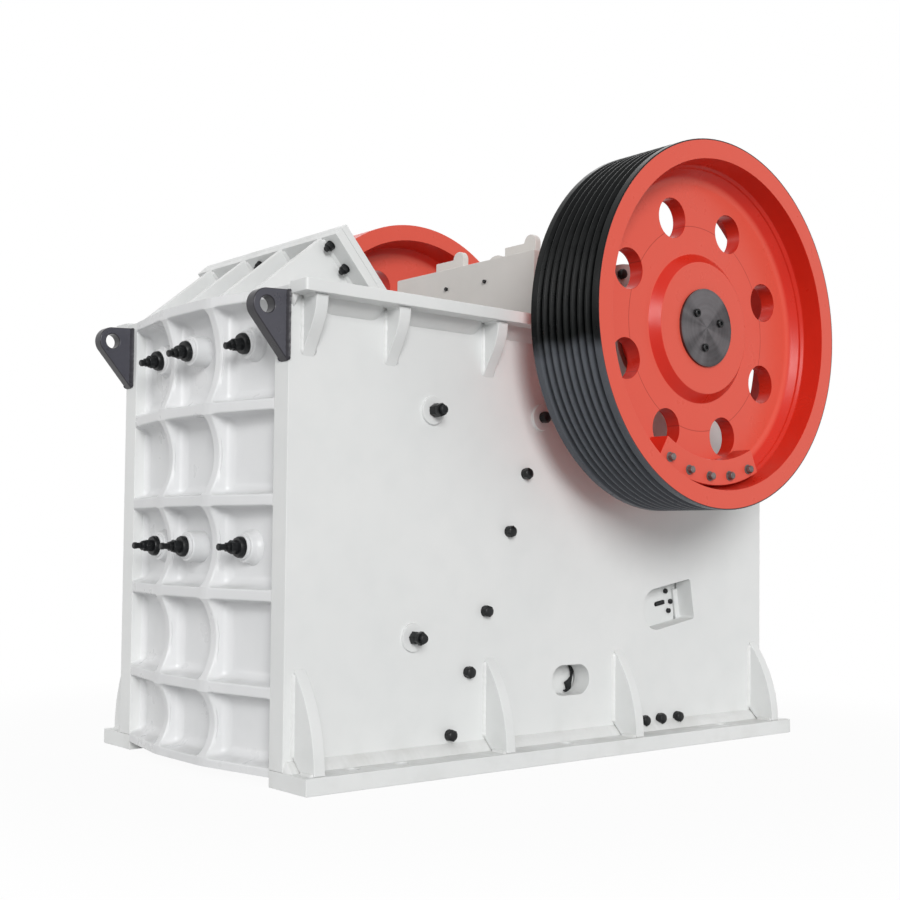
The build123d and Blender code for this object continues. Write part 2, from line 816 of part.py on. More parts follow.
# Jaw clamp: a bar across the top of the moving jaw plate that holds it down on the pitman
with BuildPart() as jaw_clamp:
    with BuildSketch(jaw_plane.offset(jaw_face_length - jaw_top_margin + jaw_clamp_gap)):
        with Locations((0, jaw_clamp_thickness / 2)):
            Rectangle(2 * jaw_half, jaw_clamp_thickness)
    extrude(amount=jaw_top_margin - jaw_clamp_gap)
save(jaw_clamp, "jaw_clamp")

# Pitman guard: a bent plate over the pitman head with two end plates and a rounded hump on top,
# and lifting ears that stand on it
guard_roof_low = eccentric_z + barrel_diameter / 2
guard_crest = guard_roof_low + guard_thickness
guard_foot = Vector(shaft_y - guard_front_reach, frame_top - guard_drop)
guard_bend = Vector(shaft_y - guard_crest_reach, guard_crest)
guard_rise = (guard_bend - guard_foot).normalized()
inner_foot = guard_foot + Vector(guard_rise.Y, -guard_rise.X) * guard_thickness
inner_bend = inner_foot + guard_rise * ((guard_roof_low - inner_foot.Y) / guard_rise.Y)
with BuildPart() as pitman_guard:
    with BuildSketch(Plane.YZ.offset(-guard_half_width)):
        with BuildLine():
            Polyline(
                guard_foot,
                guard_bend,
                (shaft_y, guard_crest),
                (shaft_y, guard_roof_low),
                inner_bend,
                inner_foot,
                close=True,
            )
        make_face()
    extrude(amount=2 * guard_half_width)
    for start_x in (-guard_half_width, guard_half_width - guard_end_thickness):
        with BuildSketch(Plane.YZ.offset(start_x)):
            with BuildLine():
                Polyline(
                    inner_foot,
                    inner_bend,
                    (shaft_y, guard_roof_low),
                    (shaft_y, inner_foot.Y),
                    close=True,
                )
            make_face()
            with Locations((shaft_y, eccentric_z)):
                Circle(barrel_diameter / 2 + seat_clearance, mode=Mode.SUBTRACT)
        extrude(amount=guard_end_thickness)
    with BuildSketch(Plane.XZ.offset(-(shaft_y - hump_reach + hump_length / 2))):
        with Locations((0, guard_crest)):
            Circle(hump_diameter / 2)
        with Locations((0, guard_crest - hump_diameter / 2)):
            Rectangle(hump_diameter, hump_diameter, mode=Mode.SUBTRACT)
    extrude(amount=hump_length)
save(pitman_guard, "pitman_guard")

ear_round_z = guard_crest + ear_height - ear_tab_width / 2
with BuildPart() as guard_ears:
    for side in (-1, 1):
        with BuildSketch(Plane.XZ.offset(-(shaft_y - ear_reach))):
            with Locations((side * ear_offset, (guard_crest + ear_round_z) / 2)):
                Rectangle(ear_tab_width, ear_round_z - guard_crest)
            with Locations((side * ear_offset, ear_round_z)):
                Circle(ear_tab_width / 2)
            with Locations((side * ear_offset - ear_foot_width / 2, guard_crest + ear_foot_rise / 2)):
                Rectangle(ear_foot_width, ear_foot_rise)
        extrude(amount=-ear_thickness)
save(guard_ears, "guard_ears")

# Toggle plate: a flat strut with rounded ends, from the rear seat towards the foot of the pitman
seat_plane = Plane(
    origin=(0, front + seat_setback, seat_height),
    x_dir=(0, cos(slope), sin(slope)),
    z_dir=(1, 0, 0),
)
with BuildPart() as toggle_plate:
    with BuildSketch(seat_plane.offset(-toggle_width / 2)):
        with Locations((-toggle_span / 2, 0)):
            SlotCenterToCenter(toggle_span, toggle_thickness)
    extrude(amount=toggle_width)
save(toggle_plate, "toggle_plate")

# Toggle seat: the beam between the side plates with a round groove for the toggle plate and
# a lifting slot in each end
seat_face = toggle_end_radius - seat_groove_depth
seat_back = seat_face + seat_depth
with BuildPart() as toggle_seat:
    with BuildSketch(seat_plane.offset(-inner_half)):
        with Locations(((seat_face + seat_back) / 2, 0)):
            Rectangle(seat_depth, seat_thickness)
        Circle(toggle_end_radius + seat_clearance, mode=Mode.SUBTRACT)
    extrude(amount=2 * inner_half)
    for eye_plane in (seat_plane.offset(inner_half), seat_plane.offset(-inner_half + seat_eye_depth)):
        with BuildSketch(eye_plane):
            with Locations((seat_back - seat_eye_inset, 0)):
                SlotOverall(seat_eye_length, seat_eye_width)
        extrude(amount=-seat_eye_depth, mode=Mode.SUBTRACT)
save(toggle_seat, "toggle_seat")

# Adjusting wedges: two long opposed wedges behind the toggle seat that set the discharge gap
wedge_half = inner_half - wedge_end_gap
wedge_back = seat_back + wedge_pair_thickness
wedge_plane = Plane(
    origin=seat_plane.from_local_coords((0, -wedge_height / 2, 0)),
    x_dir=(1, 0, 0),
    z_dir=(0, -sin(slope), cos(slope)),
)
wedge_split = [(wedge_half, wedge_back - wedge_thin_end), (-wedge_half, seat_back + wedge_thin_end)]
for label, outer_corners in (
    ("front_adjusting_wedge", [(-wedge_half, seat_back), (wedge_half, seat_back)]),
    ("rear_adjusting_wedge", [(-wedge_half, wedge_back), (wedge_half, wedge_back)]),
):
    with BuildPart() as adjusting_wedge:
        with BuildSketch(wedge_plane):
            with BuildLine():
                Polyline(*outer_corners, *wedge_split, close=True)
            make_face()
        extrude(amount=wedge_height)
    save(adjusting_wedge, label)

# Rear wall: an upright plate between the side plates with a thrust beam in front that backs the
# wedges, two deep ribs behind, and holes for the tension rods
rear_wall_y = front + rear_wall_setback
rear_wall_back = rear_wall_y + rear_wall_thickness
rear_wall_top = rear_edge_height - rear_wall_drop
with BuildPart() as rear_wall:
    with BuildSketch(Plane.YZ.offset(-inner_half)):
        with Locations((rear_wall_y + rear_wall_thickness / 2, (base_thickness + rear_wall_top) / 2)):
            Rectangle(rear_wall_thickness, rear_wall_top - base_thickness)
        rib_heights = (lower_rear_rib_height, upper_rear_rib_height)
        with Locations(*[(rear_wall_back + rear_rib_depth / 2, z) for z in rib_heights]):
            Rectangle(rear_rib_depth, rear_rib_thickness)
        with BuildLine():
            thrust_low = seat_plane.from_local_coords((wedge_back, -thrust_height / 2, 0))
            thrust_high = seat_plane.from_local_coords((wedge_back, thrust_height / 2, 0))
            Polyline(
                (rear_wall_y, thrust_low.Z),
                (thrust_low.Y, thrust_low.Z),
                (thrust_high.Y, thrust_high.Z),
                (rear_wall_y, thrust_high.Z),
                close=True,
            )
        make_face()
    extrude(amount=2 * inner_half)
    with BuildSketch(Plane.XZ.offset(-rear_wall_back)):
        with Locations((-rod_offset, rod_height), (rod_offset, rod_height)):
            Circle(rod_hole_diameter / 2)
    extrude(amount=rear_wall_thickness, mode=Mode.SUBTRACT)
save(rear_wall, "rear_wall")

# Tension springs: each between two round plates on the back of the rear wall, around its rod
spring_axis_plane = Plane(origin=(rod_offset, rear_wall_back, rod_height), x_dir=(0, 1, 0), z_dir=(1, 0, 0))
spring_end = spring_length + 2 * spring_plate_thickness
with BuildPart() as right_spring:
    with BuildSketch(spring_axis_plane):
        with BuildLine():
            Polyline(
                (0, rod_diameter / 2 + seat_clearance),
                (0, spring_plate_diameter / 2),
                (spring_plate_thickness, spring_plate_diameter / 2),
                (spring_plate_thickness, spring_diameter / 2),
                (spring_end - spring_plate_thickness, spring_diameter / 2),
                (spring_end - spring_plate_thickness, spring_plate_diameter / 2),
                (spring_end, spring_plate_diameter / 2),
                (spring_end, rod_diameter / 2 + seat_clearance),
                close=True,
            )
        make_face()
    revolve(axis=Axis((rod_offset, 0, rod_height), (0, 1, 0)))
with BuildPart() as tension_springs:
    add(right_spring.part)
    mirror(right_spring.part, about=Plane.YZ)
save(tension_springs, "tension_springs")

# Tension rods: round bars with a flat eye at the front and a nut behind the spring
rod_eye_y = toggle_face_y + rod_eye_gap + rod_eye_diameter / 2
nut_y = rear_wall_back + spring_end
with BuildPart() as right_rod:
    with BuildSketch(Plane.XZ.offset(-rod_eye_y)):
        with Locations((rod_offset, rod_height)):
            Circle(rod_diameter / 2)
    extrude(amount=-(nut_y + rod_nut_length + rod_end - rod_eye_y))
    with BuildSketch(Plane.XZ.offset(-nut_y)):
        with Locations((rod_offset, rod_height)):
            RegularPolygon(rod_nut_width / 2, side_count=6, major_radius=False)
    extrude(amount=-rod_nut_length)
    with BuildSketch(Plane.YZ.offset(rod_offset - rod_eye_thickness / 2)):
        with Locations((rod_eye_y, rod_height)):
            Circle(rod_eye_diameter / 2)
    extrude(amount=rod_eye_thickness)
with BuildPart() as tension_rods:
    add(right_rod.part)
    mirror(right_rod.part, about=Plane.YZ)
save(tension_rods, "tension_rods")
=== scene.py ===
import bmesh
import bpy
import json
import math
import random
from mathutils import Matrix, Vector

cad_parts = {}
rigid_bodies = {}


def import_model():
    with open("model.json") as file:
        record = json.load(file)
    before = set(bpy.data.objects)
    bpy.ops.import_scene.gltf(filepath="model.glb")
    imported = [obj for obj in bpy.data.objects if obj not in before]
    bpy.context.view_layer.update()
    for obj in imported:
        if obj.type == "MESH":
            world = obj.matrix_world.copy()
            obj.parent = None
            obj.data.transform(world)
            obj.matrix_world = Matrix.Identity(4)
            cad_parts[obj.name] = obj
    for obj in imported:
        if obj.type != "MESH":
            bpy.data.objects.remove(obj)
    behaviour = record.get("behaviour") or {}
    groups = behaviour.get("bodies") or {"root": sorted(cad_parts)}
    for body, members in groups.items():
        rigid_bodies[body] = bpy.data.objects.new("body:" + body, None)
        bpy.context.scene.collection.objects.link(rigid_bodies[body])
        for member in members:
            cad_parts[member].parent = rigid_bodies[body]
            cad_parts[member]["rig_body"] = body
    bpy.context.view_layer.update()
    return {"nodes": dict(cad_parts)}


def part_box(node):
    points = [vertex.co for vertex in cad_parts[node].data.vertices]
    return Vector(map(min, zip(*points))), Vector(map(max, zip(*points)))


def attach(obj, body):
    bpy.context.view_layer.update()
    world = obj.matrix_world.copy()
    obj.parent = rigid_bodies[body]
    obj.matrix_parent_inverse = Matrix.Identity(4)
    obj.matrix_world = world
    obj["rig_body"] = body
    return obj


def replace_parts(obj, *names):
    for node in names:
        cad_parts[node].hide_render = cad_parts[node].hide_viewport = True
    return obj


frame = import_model()


# Base rails: two thick flat steel bars that carry the whole machine on its foundation.
# They are cut from plate, drilled for the anchor bolts and sprayed off-white with the frame.
class Tone:
    """One socket in the nodes of a finish, so that shader maths reads as plain sums."""

    def __init__(self, tree, socket=None):
        self.tree = tree
        self.socket = socket

    def node(self, kind, settings=None, values=None, out=0):
        """Add any node: its settings first, then the values or links of its sockets."""
        made = self.tree.nodes.new(kind)
        for key, value in (settings or {}).items():
            setattr(made, key, value)
        for key, value in (values or {}).items():
            if isinstance(value, Tone):
                self.tree.links.new(value.socket, made.inputs[key])
            else:
                made.inputs[key].default_value = value
        return Tone(self.tree, made.outputs[out])

    def maths(self, operation, left, right):
        """One step of arithmetic on two values."""
        return self.node("ShaderNodeMath", {"operation": operation}, {0: left, 1: right})

    def __add__(self, other):
        return self.maths("ADD", self, other)

    def __radd__(self, other):
        return self.maths("ADD", other, self)

    def __sub__(self, other):
        return self.maths("SUBTRACT", self, other)

    def __rsub__(self, other):
        return self.maths("SUBTRACT", other, self)

    def __mul__(self, other):
        return self.maths("MULTIPLY", self, other)

    def __rmul__(self, other):
        return self.maths("MULTIPLY", other, self)

    def fade(self, low, high):
        """0 below low and 1 above high, eased between them."""
        values = {"Value": self, "From Min": low, "From Max": high}
        return self.node("ShaderNodeMapRange", {"interpolation_type": "SMOOTHSTEP"}, values)

    def cloud(self, scale, detail=3.0):
        """Soft noise over this place, from about 0.2 to 0.8."""
        values = {"Vector": self, "Scale": scale, "Detail": detail}
        return self.node("ShaderNodeTexNoise", {}, values)

    def blend(self, first, second):
        """A mix of two colours, by this tone."""
        settings = {"data_type": "RGBA"}
        return self.node("ShaderNodeMix", settings, {0: self, 6: first, 7: second}, out=2)

    def axis(self, letter):
        """One axis of a place or direction."""
        return self.node("ShaderNodeSeparateXYZ", {}, {0: self}, out=letter)

    def bump(self, distance, strength):
        """Small relief on the surface, as high as this tone."""
        values = {"Height": self, "Distance": distance, "Strength": strength}
        return self.node("ShaderNodeBump", {}, values)


def feed(shader, **tones):
    """Link tones to a shader's sockets, or set the sockets that stay the same all over."""
    for key, value in tones.items():
        socket = shader.inputs[key.replace("_", " ").title().replace("Ior", "IOR")]
        if isinstance(value, Tone):
            value.tree.links.new(value.socket, socket)
        else:
            socket.default_value = value


def blank_finish(name):
    """A new finish, with its shader and the place on the piece that its tones vary over."""
    finish = bpy.data.materials.new(name)
    finish.use_nodes = True
    shader = finish.node_tree.nodes["Principled BSDF"]
    place = Tone(finish.node_tree).node("ShaderNodeTexCoord", out="Object")
    return finish, shader, place


def enamel(name, paint, shade, dust, gloss, lumps, shine=0.5, marks=None):
    """Sprayed enamel: clouds of a second shade, dust on level faces, orange peel, casting lumps."""
    finish, shader, place = blank_finish(name)
    facing = place.node("ShaderNodeNewGeometry", out="Normal").axis("Z")
    broad = place.cloud(1.3)
    patches = place.cloud(7.0, 5.0)
    settled = facing.fade(0.55, 0.95) * patches.fade(0.30, 0.75)
    low = (1 - place.axis("Z").fade(0.02, 0.30)) * patches.fade(0.45, 0.75)
    colour = (broad.fade(0.25, 0.75) * 0.6 + patches.fade(0.35, 0.80) * 0.4).blend(paint, shade)
    colour = (settled * 0.45 + low * 0.25).blend(colour, dust)
    if marks:
        colour = marks(place, colour)
    height = place.cloud(420.0, 1.0) * 0.05 + place.cloud(26.0, 4.0) * lumps
    feed(shader, base_color=colour, normal=height.bump(0.004, 0.5))
    feed(shader, roughness=patches * 0.16 + broad * 0.08 + gloss + settled * 0.18)
    feed(shader, specular_ior_level=shine)
    return finish


def settle(work, name, body, finish, corner=38.0):
    """Turn mesh work, faces outward, into a piece of the machine that moves with one body."""
    bmesh.ops.recalc_face_normals(work, faces=work.faces)
    mesh = bpy.data.meshes.new(name)
    work.to_mesh(mesh)
    work.free()
    for left_over in ("custom_normal", "sharp_face", "sharp_edge"):
        if left_over in mesh.attributes:
            mesh.attributes.remove(mesh.attributes[left_over])
    mesh.shade_smooth()
    mesh.set_sharp_from_angle(angle=math.radians(corner))
    mesh.materials.append(finish)
    piece = bpy.data.objects.new(name, mesh)
    bpy.context.scene.collection.objects.link(piece)
    even = piece.modifiers.new("even_normals", "WEIGHTED_NORMAL")
    even.keep_sharp = True
    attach(piece, body)
    return piece


def shape_of(node):
    """A node's own shape as mesh work, with its flat faces whole."""
    work = bmesh.new()
    work.from_mesh(frame["nodes"][node].data)
    bmesh.ops.remove_doubles(work, verts=work.verts, dist=1e-5)
    flat = math.radians(0.4)
    bmesh.ops.dissolve_limit(work, angle_limit=flat, verts=work.verts, edges=work.edges)
    return work


def round_off(work, width, steps, hard=28.0, chosen=None):
    """Round the edges that turn more than a hard angle: all of them, or the chosen ones."""
    edges = [
        edge
        for edge in work.edges
        if len(edge.link_faces) == 2
        and edge.calc_face_angle() > math.radians(hard)
        and (chosen is None or chosen(edge))
    ]
    bmesh.ops.bevel(
        work,
        geom=edges,
        offset=width,
        offset_type="OFFSET",
        segments=steps,
        profile=0.5,
        affect="EDGES",
        clamp_overlap=False,
        loop_slide=False,
    )
    bmesh.ops.remove_doubles(work, verts=work.verts, dist=1e-5)


def stand_for(work, node, finish):
    """Settle mesh work on the body of a node, in place of that node."""
    piece = settle(work, node + "_dressed", frame["nodes"][node]["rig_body"], finish)
    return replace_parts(piece, node)


def eased(node, width, finish, steps=2):
    """A node's own shape with its hard edges rounded, standing for that node."""
    work = shape_of(node)
    round_off(work, width, steps)
    return stand_for(work, node, finish)


frame_white = enamel(
    "frame_white",
    paint=(0.740, 0.748, 0.742, 1),
    shade=(0.690, 0.704, 0.700, 1),
    dust=(0.600, 0.598, 0.575, 1),
    gloss=0.26,
    lumps=0.05,
)
for side in ("right", "left"):
    eased(side + "_base_rail", 0.005, frame_white)


# Side plates: thick steel walls with machined windows, seats for the bearings and bolt bosses.
# They are flame cut from one plate each, stand on the rails and are welded to them.
for side in ("right", "left"):
    eased(side + "_side_plate", 0.004, frame_white)


# Base gussets: plates with a bowed outer edge that brace the side plates on the rails.
# They are welded on with fillet beads, and sniped at the inner corner, where one heavy weld
# runs through along the foot of the side plate.
def skin(work, loops):
    """Join a row of loops into a closed solid, with one flat face over each end."""
    points = len(loops[0])
    for low, high in zip(loops, loops[1:]):
        for index in range(points):
            following = (index + 1) % points
            work.faces.new((low[index], low[following], high[following], high[index]))
    work.faces.new(list(reversed(loops[0])))
    work.faces.new(loops[-1])


weld_sunk = 0.001
weld_ripple = 0.008
weld_bulge = ((1.0, 0.0), (0.70, 0.40), (0.40, 0.70), (0.0, 1.0))


def bead(work, start, end, along_one, along_two, leg, chance):
    """A fillet weld in a corner, with a slightly bulged face and uneven ripples."""
    start = Vector(start)
    run = Vector(end) - start
    one = Vector(along_one)
    two = Vector(along_two)
    count = max(3, round(run.length / weld_ripple))
    loops = []
    for step in range(count + 1):
        swell = leg + chance.uniform(-0.0015, 0.0012)
        if step in (0, count):
            swell = leg * 0.5
        corner = start + run * (step / count)
        loop = [work.verts.new(corner - (one + two) * weld_sunk)]
        for first, second in weld_bulge:
            loop.append(work.verts.new(corner + (one * first + two * second) * swell))
        loops.append(loop)
    skin(work, loops)


weld_white = enamel(
    "weld_white",
    paint=(0.715, 0.722, 0.715, 1),
    shade=(0.640, 0.650, 0.645, 1),
    dust=(0.560, 0.556, 0.530, 1),
    gloss=0.30,
    lumps=0.30,
)
weld_chance = random.Random(41)
gusset_thickness = 0.058
gusset_weld = 0.013
gusset_snipe = 0.060
weld_below_top = 0.020
weld_short_of_edge = 0.006
foot_weld = 0.047
foot_weld_short = 0.004
rail_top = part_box("right_base_rail")[1].z
wall_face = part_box("right_top_flange")[0].x
wall_ends = (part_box("right_side_plate")[0].y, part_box("right_side_plate")[1].y)
gusset_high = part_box("right_base_gussets")[1]
gusset_fronts = [wall_ends[0] + setback for setback in (0.050, 1.135, 2.033, 3.164)]
sides = (("right", 1), ("left", -1))
for side, sign in sides:
    eased(side + "_base_gussets", 0.005, frame_white)
    work = bmesh.new()
    away = (sign, 0, 0)
    for front_y in gusset_fronts:
        for face_y, toward in ((front_y, (0, -1, 0)), (front_y + gusset_thickness, (0, 1, 0))):
            root = Vector((sign * wall_face, face_y, rail_top))
            bead(
                work,
                root + Vector((0, 0, gusset_snipe)),
                root + Vector((0, 0, gusset_high.z - rail_top - weld_below_top)),
                toward,
                away,
                gusset_weld,
                weld_chance,
            )
            bead(
                work,
                root + Vector((sign * gusset_snipe, 0, 0)),
                root + Vector((sign * (gusset_high.x - wall_face - weld_short_of_edge), 0, 0)),
                toward,
                (0, 0, 1),
                gusset_weld,
                weld_chance,
            )
    bead(
        work,
        (sign * wall_face, wall_ends[0] + foot_weld_short, rail_top),
        (sign * wall_face, wall_ends[1] - foot_weld_short, rail_top),
        away,
        (0, 0, 1),
        foot_weld,
        weld_chance,
    )
    settle(work, side + "_base_welds", "frame", weld_white, corner=60.0)


# Top flange and its gussets: a flat bar welded along the upper edge of each side plate.
# Curved brackets hold it, and a wide ground weld fills the corner under it between them.
top_gusset_thickness = 0.064
top_weld = 0.011
top_weld_start = 0.008
top_weld_reach = 0.098
top_weld_foot = 0.010
cove_leg = 0.064
cove_gap = 0.030
cove_front = 0.004
cove_rear = 0.006
cove_hollow = ((1.0, 0.0), (0.72, 0.42), (0.38, 0.78), (0.0, 1.0))
cove_steps = 28
flange_low, flange_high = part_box("right_top_flange")
top_gusset_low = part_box("right_top_gussets")[0]
top_fronts = [wall_ends[0] + setback for setback in (0.068, 0.518, 1.108)]


def cove(work, start_y, end_y, sign, top_z, leg):
    """A wide hollow-ground weld under the flange, with both ends rounded off."""
    wall = sign * wall_face
    loops = []
    for step in range(cove_steps + 1):
        share = step / cove_steps
        place_y = start_y + (end_y - start_y) * (0.5 - 0.5 * math.cos(math.pi * share))
        near = min(place_y - start_y, end_y - place_y)
        fullness = math.sqrt(max(0.0, 1 - max(0.0, 1 - near / leg) ** 2))
        drop = leg * (0.30 + 0.70 * fullness)
        reach = sign * leg * 0.62 * (0.35 + 0.65 * fullness)
        loop = [work.verts.new((wall - sign * weld_sunk, place_y, top_z + weld_sunk))]
        for out, down in cove_hollow:
            loop.append(work.verts.new((wall + reach * out, place_y, top_z - drop * down)))
        loops.append(loop)
    skin(work, loops)


for side, sign in sides:
    eased(side + "_top_flange", 0.005, frame_white)
    eased(side + "_top_gussets", 0.005, frame_white)
    work = bmesh.new()
    edges = [flange_low.y + cove_front]
    for front_y in top_fronts:
        edges += [front_y - cove_gap, front_y + top_gusset_thickness + cove_gap]
    edges.append(flange_high.y - cove_rear)
    for start_y, end_y in zip(edges[0::2], edges[1::2]):
        cove(work, start_y, end_y, sign, flange_low.z, cove_leg)
    for front_y in top_fronts:
        for face_y, toward in (
            (front_y, (0, -1, 0)),
            (front_y + top_gusset_thickness, (0, 1, 0)),
        ):
            root = Vector((sign * wall_face, face_y, flange_low.z))
            bead(
                work,
                root + Vector((0, 0, top_gusset_low.z - flange_low.z + top_weld_foot)),
                root + Vector((0, 0, -top_weld_start)),
                toward,
                (sign, 0, 0),
                top_weld,
                weld_chance,
            )
            bead(
                work,
                root + Vector((sign * top_weld_start, 0, 0)),
                root + Vector((sign * top_weld_reach, 0, 0)),
                toward,
                (0, 0, -1),
                top_weld,
                weld_chance,
            )
    settle(work, side + "_flange_welds", "frame", weld_white, corner=60.0)


# Wall bolts: black hexagon bolts that hold the cheek liners and tie the frame together.
# Two long studs with a nut and a lock nut stand on the round bosses of each side plate.
def ring_solid(work, foot, axis, rings, turn=0.0, points=24):
    """Skin rings along an axis into a closed solid.

    A ring is (height, radius, flats), where flats is the width of a hexagon, or 0 if round.
    """
    axis = Vector(axis).normalized()
    side = axis.orthogonal().normalized()
    across = axis.cross(side)
    loops = []
    for height, radius, flats in rings:
        loop = []
        for step in range(points):
            angle = math.tau * step / points
            reach = radius
            if flats:
                slant = (angle + math.pi / 6) % (math.pi / 3) - math.pi / 6
                reach = min(radius, flats / 2 / math.cos(slant))
            spread = angle + turn
            ray = side * math.cos(spread) + across * math.sin(spread)
            loop.append(work.verts.new(Vector(foot) + axis * height + ray * reach))
        loops.append(loop)
    skin(work, loops)


def hexagon(work, foot, axis, flats, height, turn, dome=0.0):
    """A hexagon nut or bolt head with chamfered corners, and a domed top if asked."""
    corner = flats / 2 / math.cos(math.pi / 6)
    inner = flats / 2 * 0.97
    rings = [
        (0.0, inner, 0),
        (height * 0.08, corner, flats),
        (height * 0.86, corner, flats),
        (height, inner, 0),
    ]
    if dome:
        rings += [(height + dome * 0.7, inner * 0.72, 0), (height + dome, inner * 0.35, 0)]
    else:
        rings.append((height, inner * 0.6, 0))
    ring_solid(work, foot, axis, rings, turn)


def coated(name, dark, pale, sheen, shine=0.3, depth=0.25, marks=None):
    """Blackened or plated steel: a dark tone, a paler bloom and greasy patches in the gloss."""
    finish, shader, place = blank_finish(name)
    grain = place.cloud(60.0, 4.0)
    bloom = place.cloud(14.0)
    colour = (grain.fade(0.4, 0.8) * 0.5 + bloom.fade(0.45, 0.75) * 0.4).blend(dark, pale)
    if marks:
        colour = marks(place, colour)
    feed(shader, base_color=colour, normal=grain.bump(0.001, depth))
    feed(shader, roughness=bloom * 0.25 + grain * 0.10 + sheen, specular_ior_level=shine)
    return finish


bolt_black = coated("bolt_black", (0.0050, 0.0055, 0.0060, 1), (0.016, 0.018, 0.020, 1), 0.20)
bolt_chance = random.Random(7)
bolt_flats = 0.050
bolt_head = 0.030
bolt_dome = 0.005
bolt_washer = ((0.0, 0.0265, 0), (0.003, 0.0265, 0), (0.005, 0.025, 0))
washer_thickness = 0.005
stud_flats = 0.056
stud_nut = 0.038
stud_lock_nut = 0.024
stud_tip = ((0.056, 0.020, 0), (0.078, 0.020, 0), (0.082, 0.016, 0))
boss_height = 0.014
front_plane = wall_ends[0]
stud_places = ((0.794, 1.656), (0.691, 0.617))
boss_bolt_place = (1.495, 1.672)
cheek_bolt_places = (
    (1.389, 1.390),
    (1.282, 1.107),
    (1.134, 0.727),
    (1.027, 0.444),
    (0.916, 0.160),
)
base_bolt_places = ((2.262, 0.127), (2.390, 0.130), (2.529, 0.130))
for side, sign in sides:
    work = bmesh.new()
    out = Vector((sign, 0, 0))
    for setback, height in stud_places:
        foot = Vector((sign * (wall_face + boss_height), front_plane + setback, height))
        above = foot + out * stud_nut
        hexagon(work, foot, out, stud_flats, stud_nut, bolt_chance.uniform(0, 1))
        hexagon(work, above, out, stud_flats, stud_lock_nut, bolt_chance.uniform(0, 1))
        ring_solid(work, foot, out, stud_tip)
    for setback, height in (boss_bolt_place,) + cheek_bolt_places + base_bolt_places:
        start = wall_face + (boss_height if (setback, height) == boss_bolt_place else 0.0)
        foot = Vector((sign * start, front_plane + setback, height))
        ring_solid(work, foot, out, bolt_washer)
        foot += out * washer_thickness
        turn = bolt_chance.uniform(0, 1)
        hexagon(work, foot, out, bolt_flats, bolt_head, turn, bolt_dome)
    settle(work, side + "_wall_bolts", "frame", bolt_black)


# Front wall: the bellied cast front of the frame, with three bays of rounded cells.
# It is one steel casting between the side plates, fettled smooth and sprayed off-white.
cast_white = enamel(
    "cast_white",
    paint=(0.725, 0.730, 0.735, 1),
    shade=(0.660, 0.668, 0.676, 1),
    dust=(0.600, 0.600, 0.585, 1),
    gloss=0.18,
    lumps=0.14,
    shine=0.35,
)
wall_low, wall_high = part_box("front_wall")
wall_half = wall_high.x
wall_depth = 0.495
wall_back = front_plane + wall_depth
wall_sill = 0.040
wall_brow = 0.047
belly = 0.085
bay_half = 0.210
rib_half = 0.026
rim_round = 0.009
cell_draft = 0.006
cell_fillet = 0.050
cell_round = 0.032
cell_depth = 0.027
cell_slope = 0.053
cell_overrun = 0.006
scallop = 0.055
scallop_reach = 0.06
first_rib = 0.398
rib_pitch = 0.41367
ribs = [first_rib + rib_pitch * count for count in range(4)]
rows = [(wall_low.z + wall_sill, ribs[0] - rib_half)]
for rib, next_rib in zip(ribs, ribs[1:]):
    rows.append((rib + rib_half, next_rib - rib_half))
rows.append((ribs[-1] + rib_half, wall_high.z - wall_brow))
outer_edge = wall_half + cell_draft + cell_overrun
bays = (
    (-outer_edge, -bay_half - rib_half),
    (-bay_half + rib_half, bay_half - rib_half),
    (bay_half + rib_half, outer_edge),
)


def cut_lines(spans, low, high, parts):
    """Grid lines that crowd round the rim and foot of every cell."""
    near = (-0.009, -0.007, -0.0045, -0.0025, -0.0008, 0.0, 0.003, 0.006, 0.009)
    near += (0.013, 0.019, 0.027, 0.037, 0.047, 0.056)
    lines = {low, high}
    for first, last in spans:
        for offset in near:
            lines |= {first + offset, last - offset}
        inside = last - first - 2 * near[-1]
        lines |= {first + near[-1] + inside * part / parts for part in range(1, parts)}
    kept = []
    for line in sorted(lines):
        if low - 1e-6 <= line <= high + 1e-6 and (not kept or line - kept[-1] > 4e-4):
            kept.append(line)
    return kept


def into_cell(x, z):
    """How far a point lies inside the nearest cell's rounded outline; negative on a rib."""
    deepest = -1.0
    for left, right in bays:
        for foot, head in rows:
            reach_x = abs(x - (left + right) / 2) - (right - left) / 2 + cell_round
            reach_z = abs(z - (foot + head) / 2) - (head - foot) / 2 + cell_round
            outside = math.hypot(max(reach_x, 0.0), max(reach_z, 0.0))
            deepest = max(deepest, cell_round - outside - min(max(reach_x, reach_z), 0.0))
    return deepest


def crest_setback(x, z):
    """Setback of the ribs' front edges: the belly, and the scallops of the upright ribs."""
    setback = -belly * min(1.0, (wall_half - abs(x)) / (wall_half - bay_half))
    for foot, head in rows:
        if abs(x) < bay_half + rib_half + scallop_reach and foot < z < head:
            half = (head - foot) / 2
            radius = (half**2 + scallop**2) / (2 * scallop)
            setback += math.sqrt(radius**2 - (z - (foot + head) / 2) ** 2) - radius + scallop
    return setback


def wall_setback(x, z):
    """Setback of the cast face: rounded rims, drafted cell walls, a hollow fillet at their foot."""
    crest = crest_setback(x, z)
    slope = max(0.0, (abs(x) - bay_half - rib_half) / (wall_half - bay_half - rib_half))
    back = cell_depth + cell_slope * min(1.0, slope)
    inside = into_cell(x, z)
    if inside <= -rim_round:
        return crest
    if inside <= 0.0:
        drop = rim_round - math.sqrt(rim_round**2 - (inside + rim_round) ** 2)
        return min(crest + drop, back)
    foot = max(back - cell_fillet, crest + rim_round)
    if inside <= cell_draft:
        return min(back, crest + rim_round + (foot - crest - rim_round) * inside / cell_draft)
    left = max(0.0, 1 - (inside - cell_draft) / cell_fillet)
    return min(back, max(crest + rim_round, back - cell_fillet * (1 - math.sqrt(1 - left**2))))


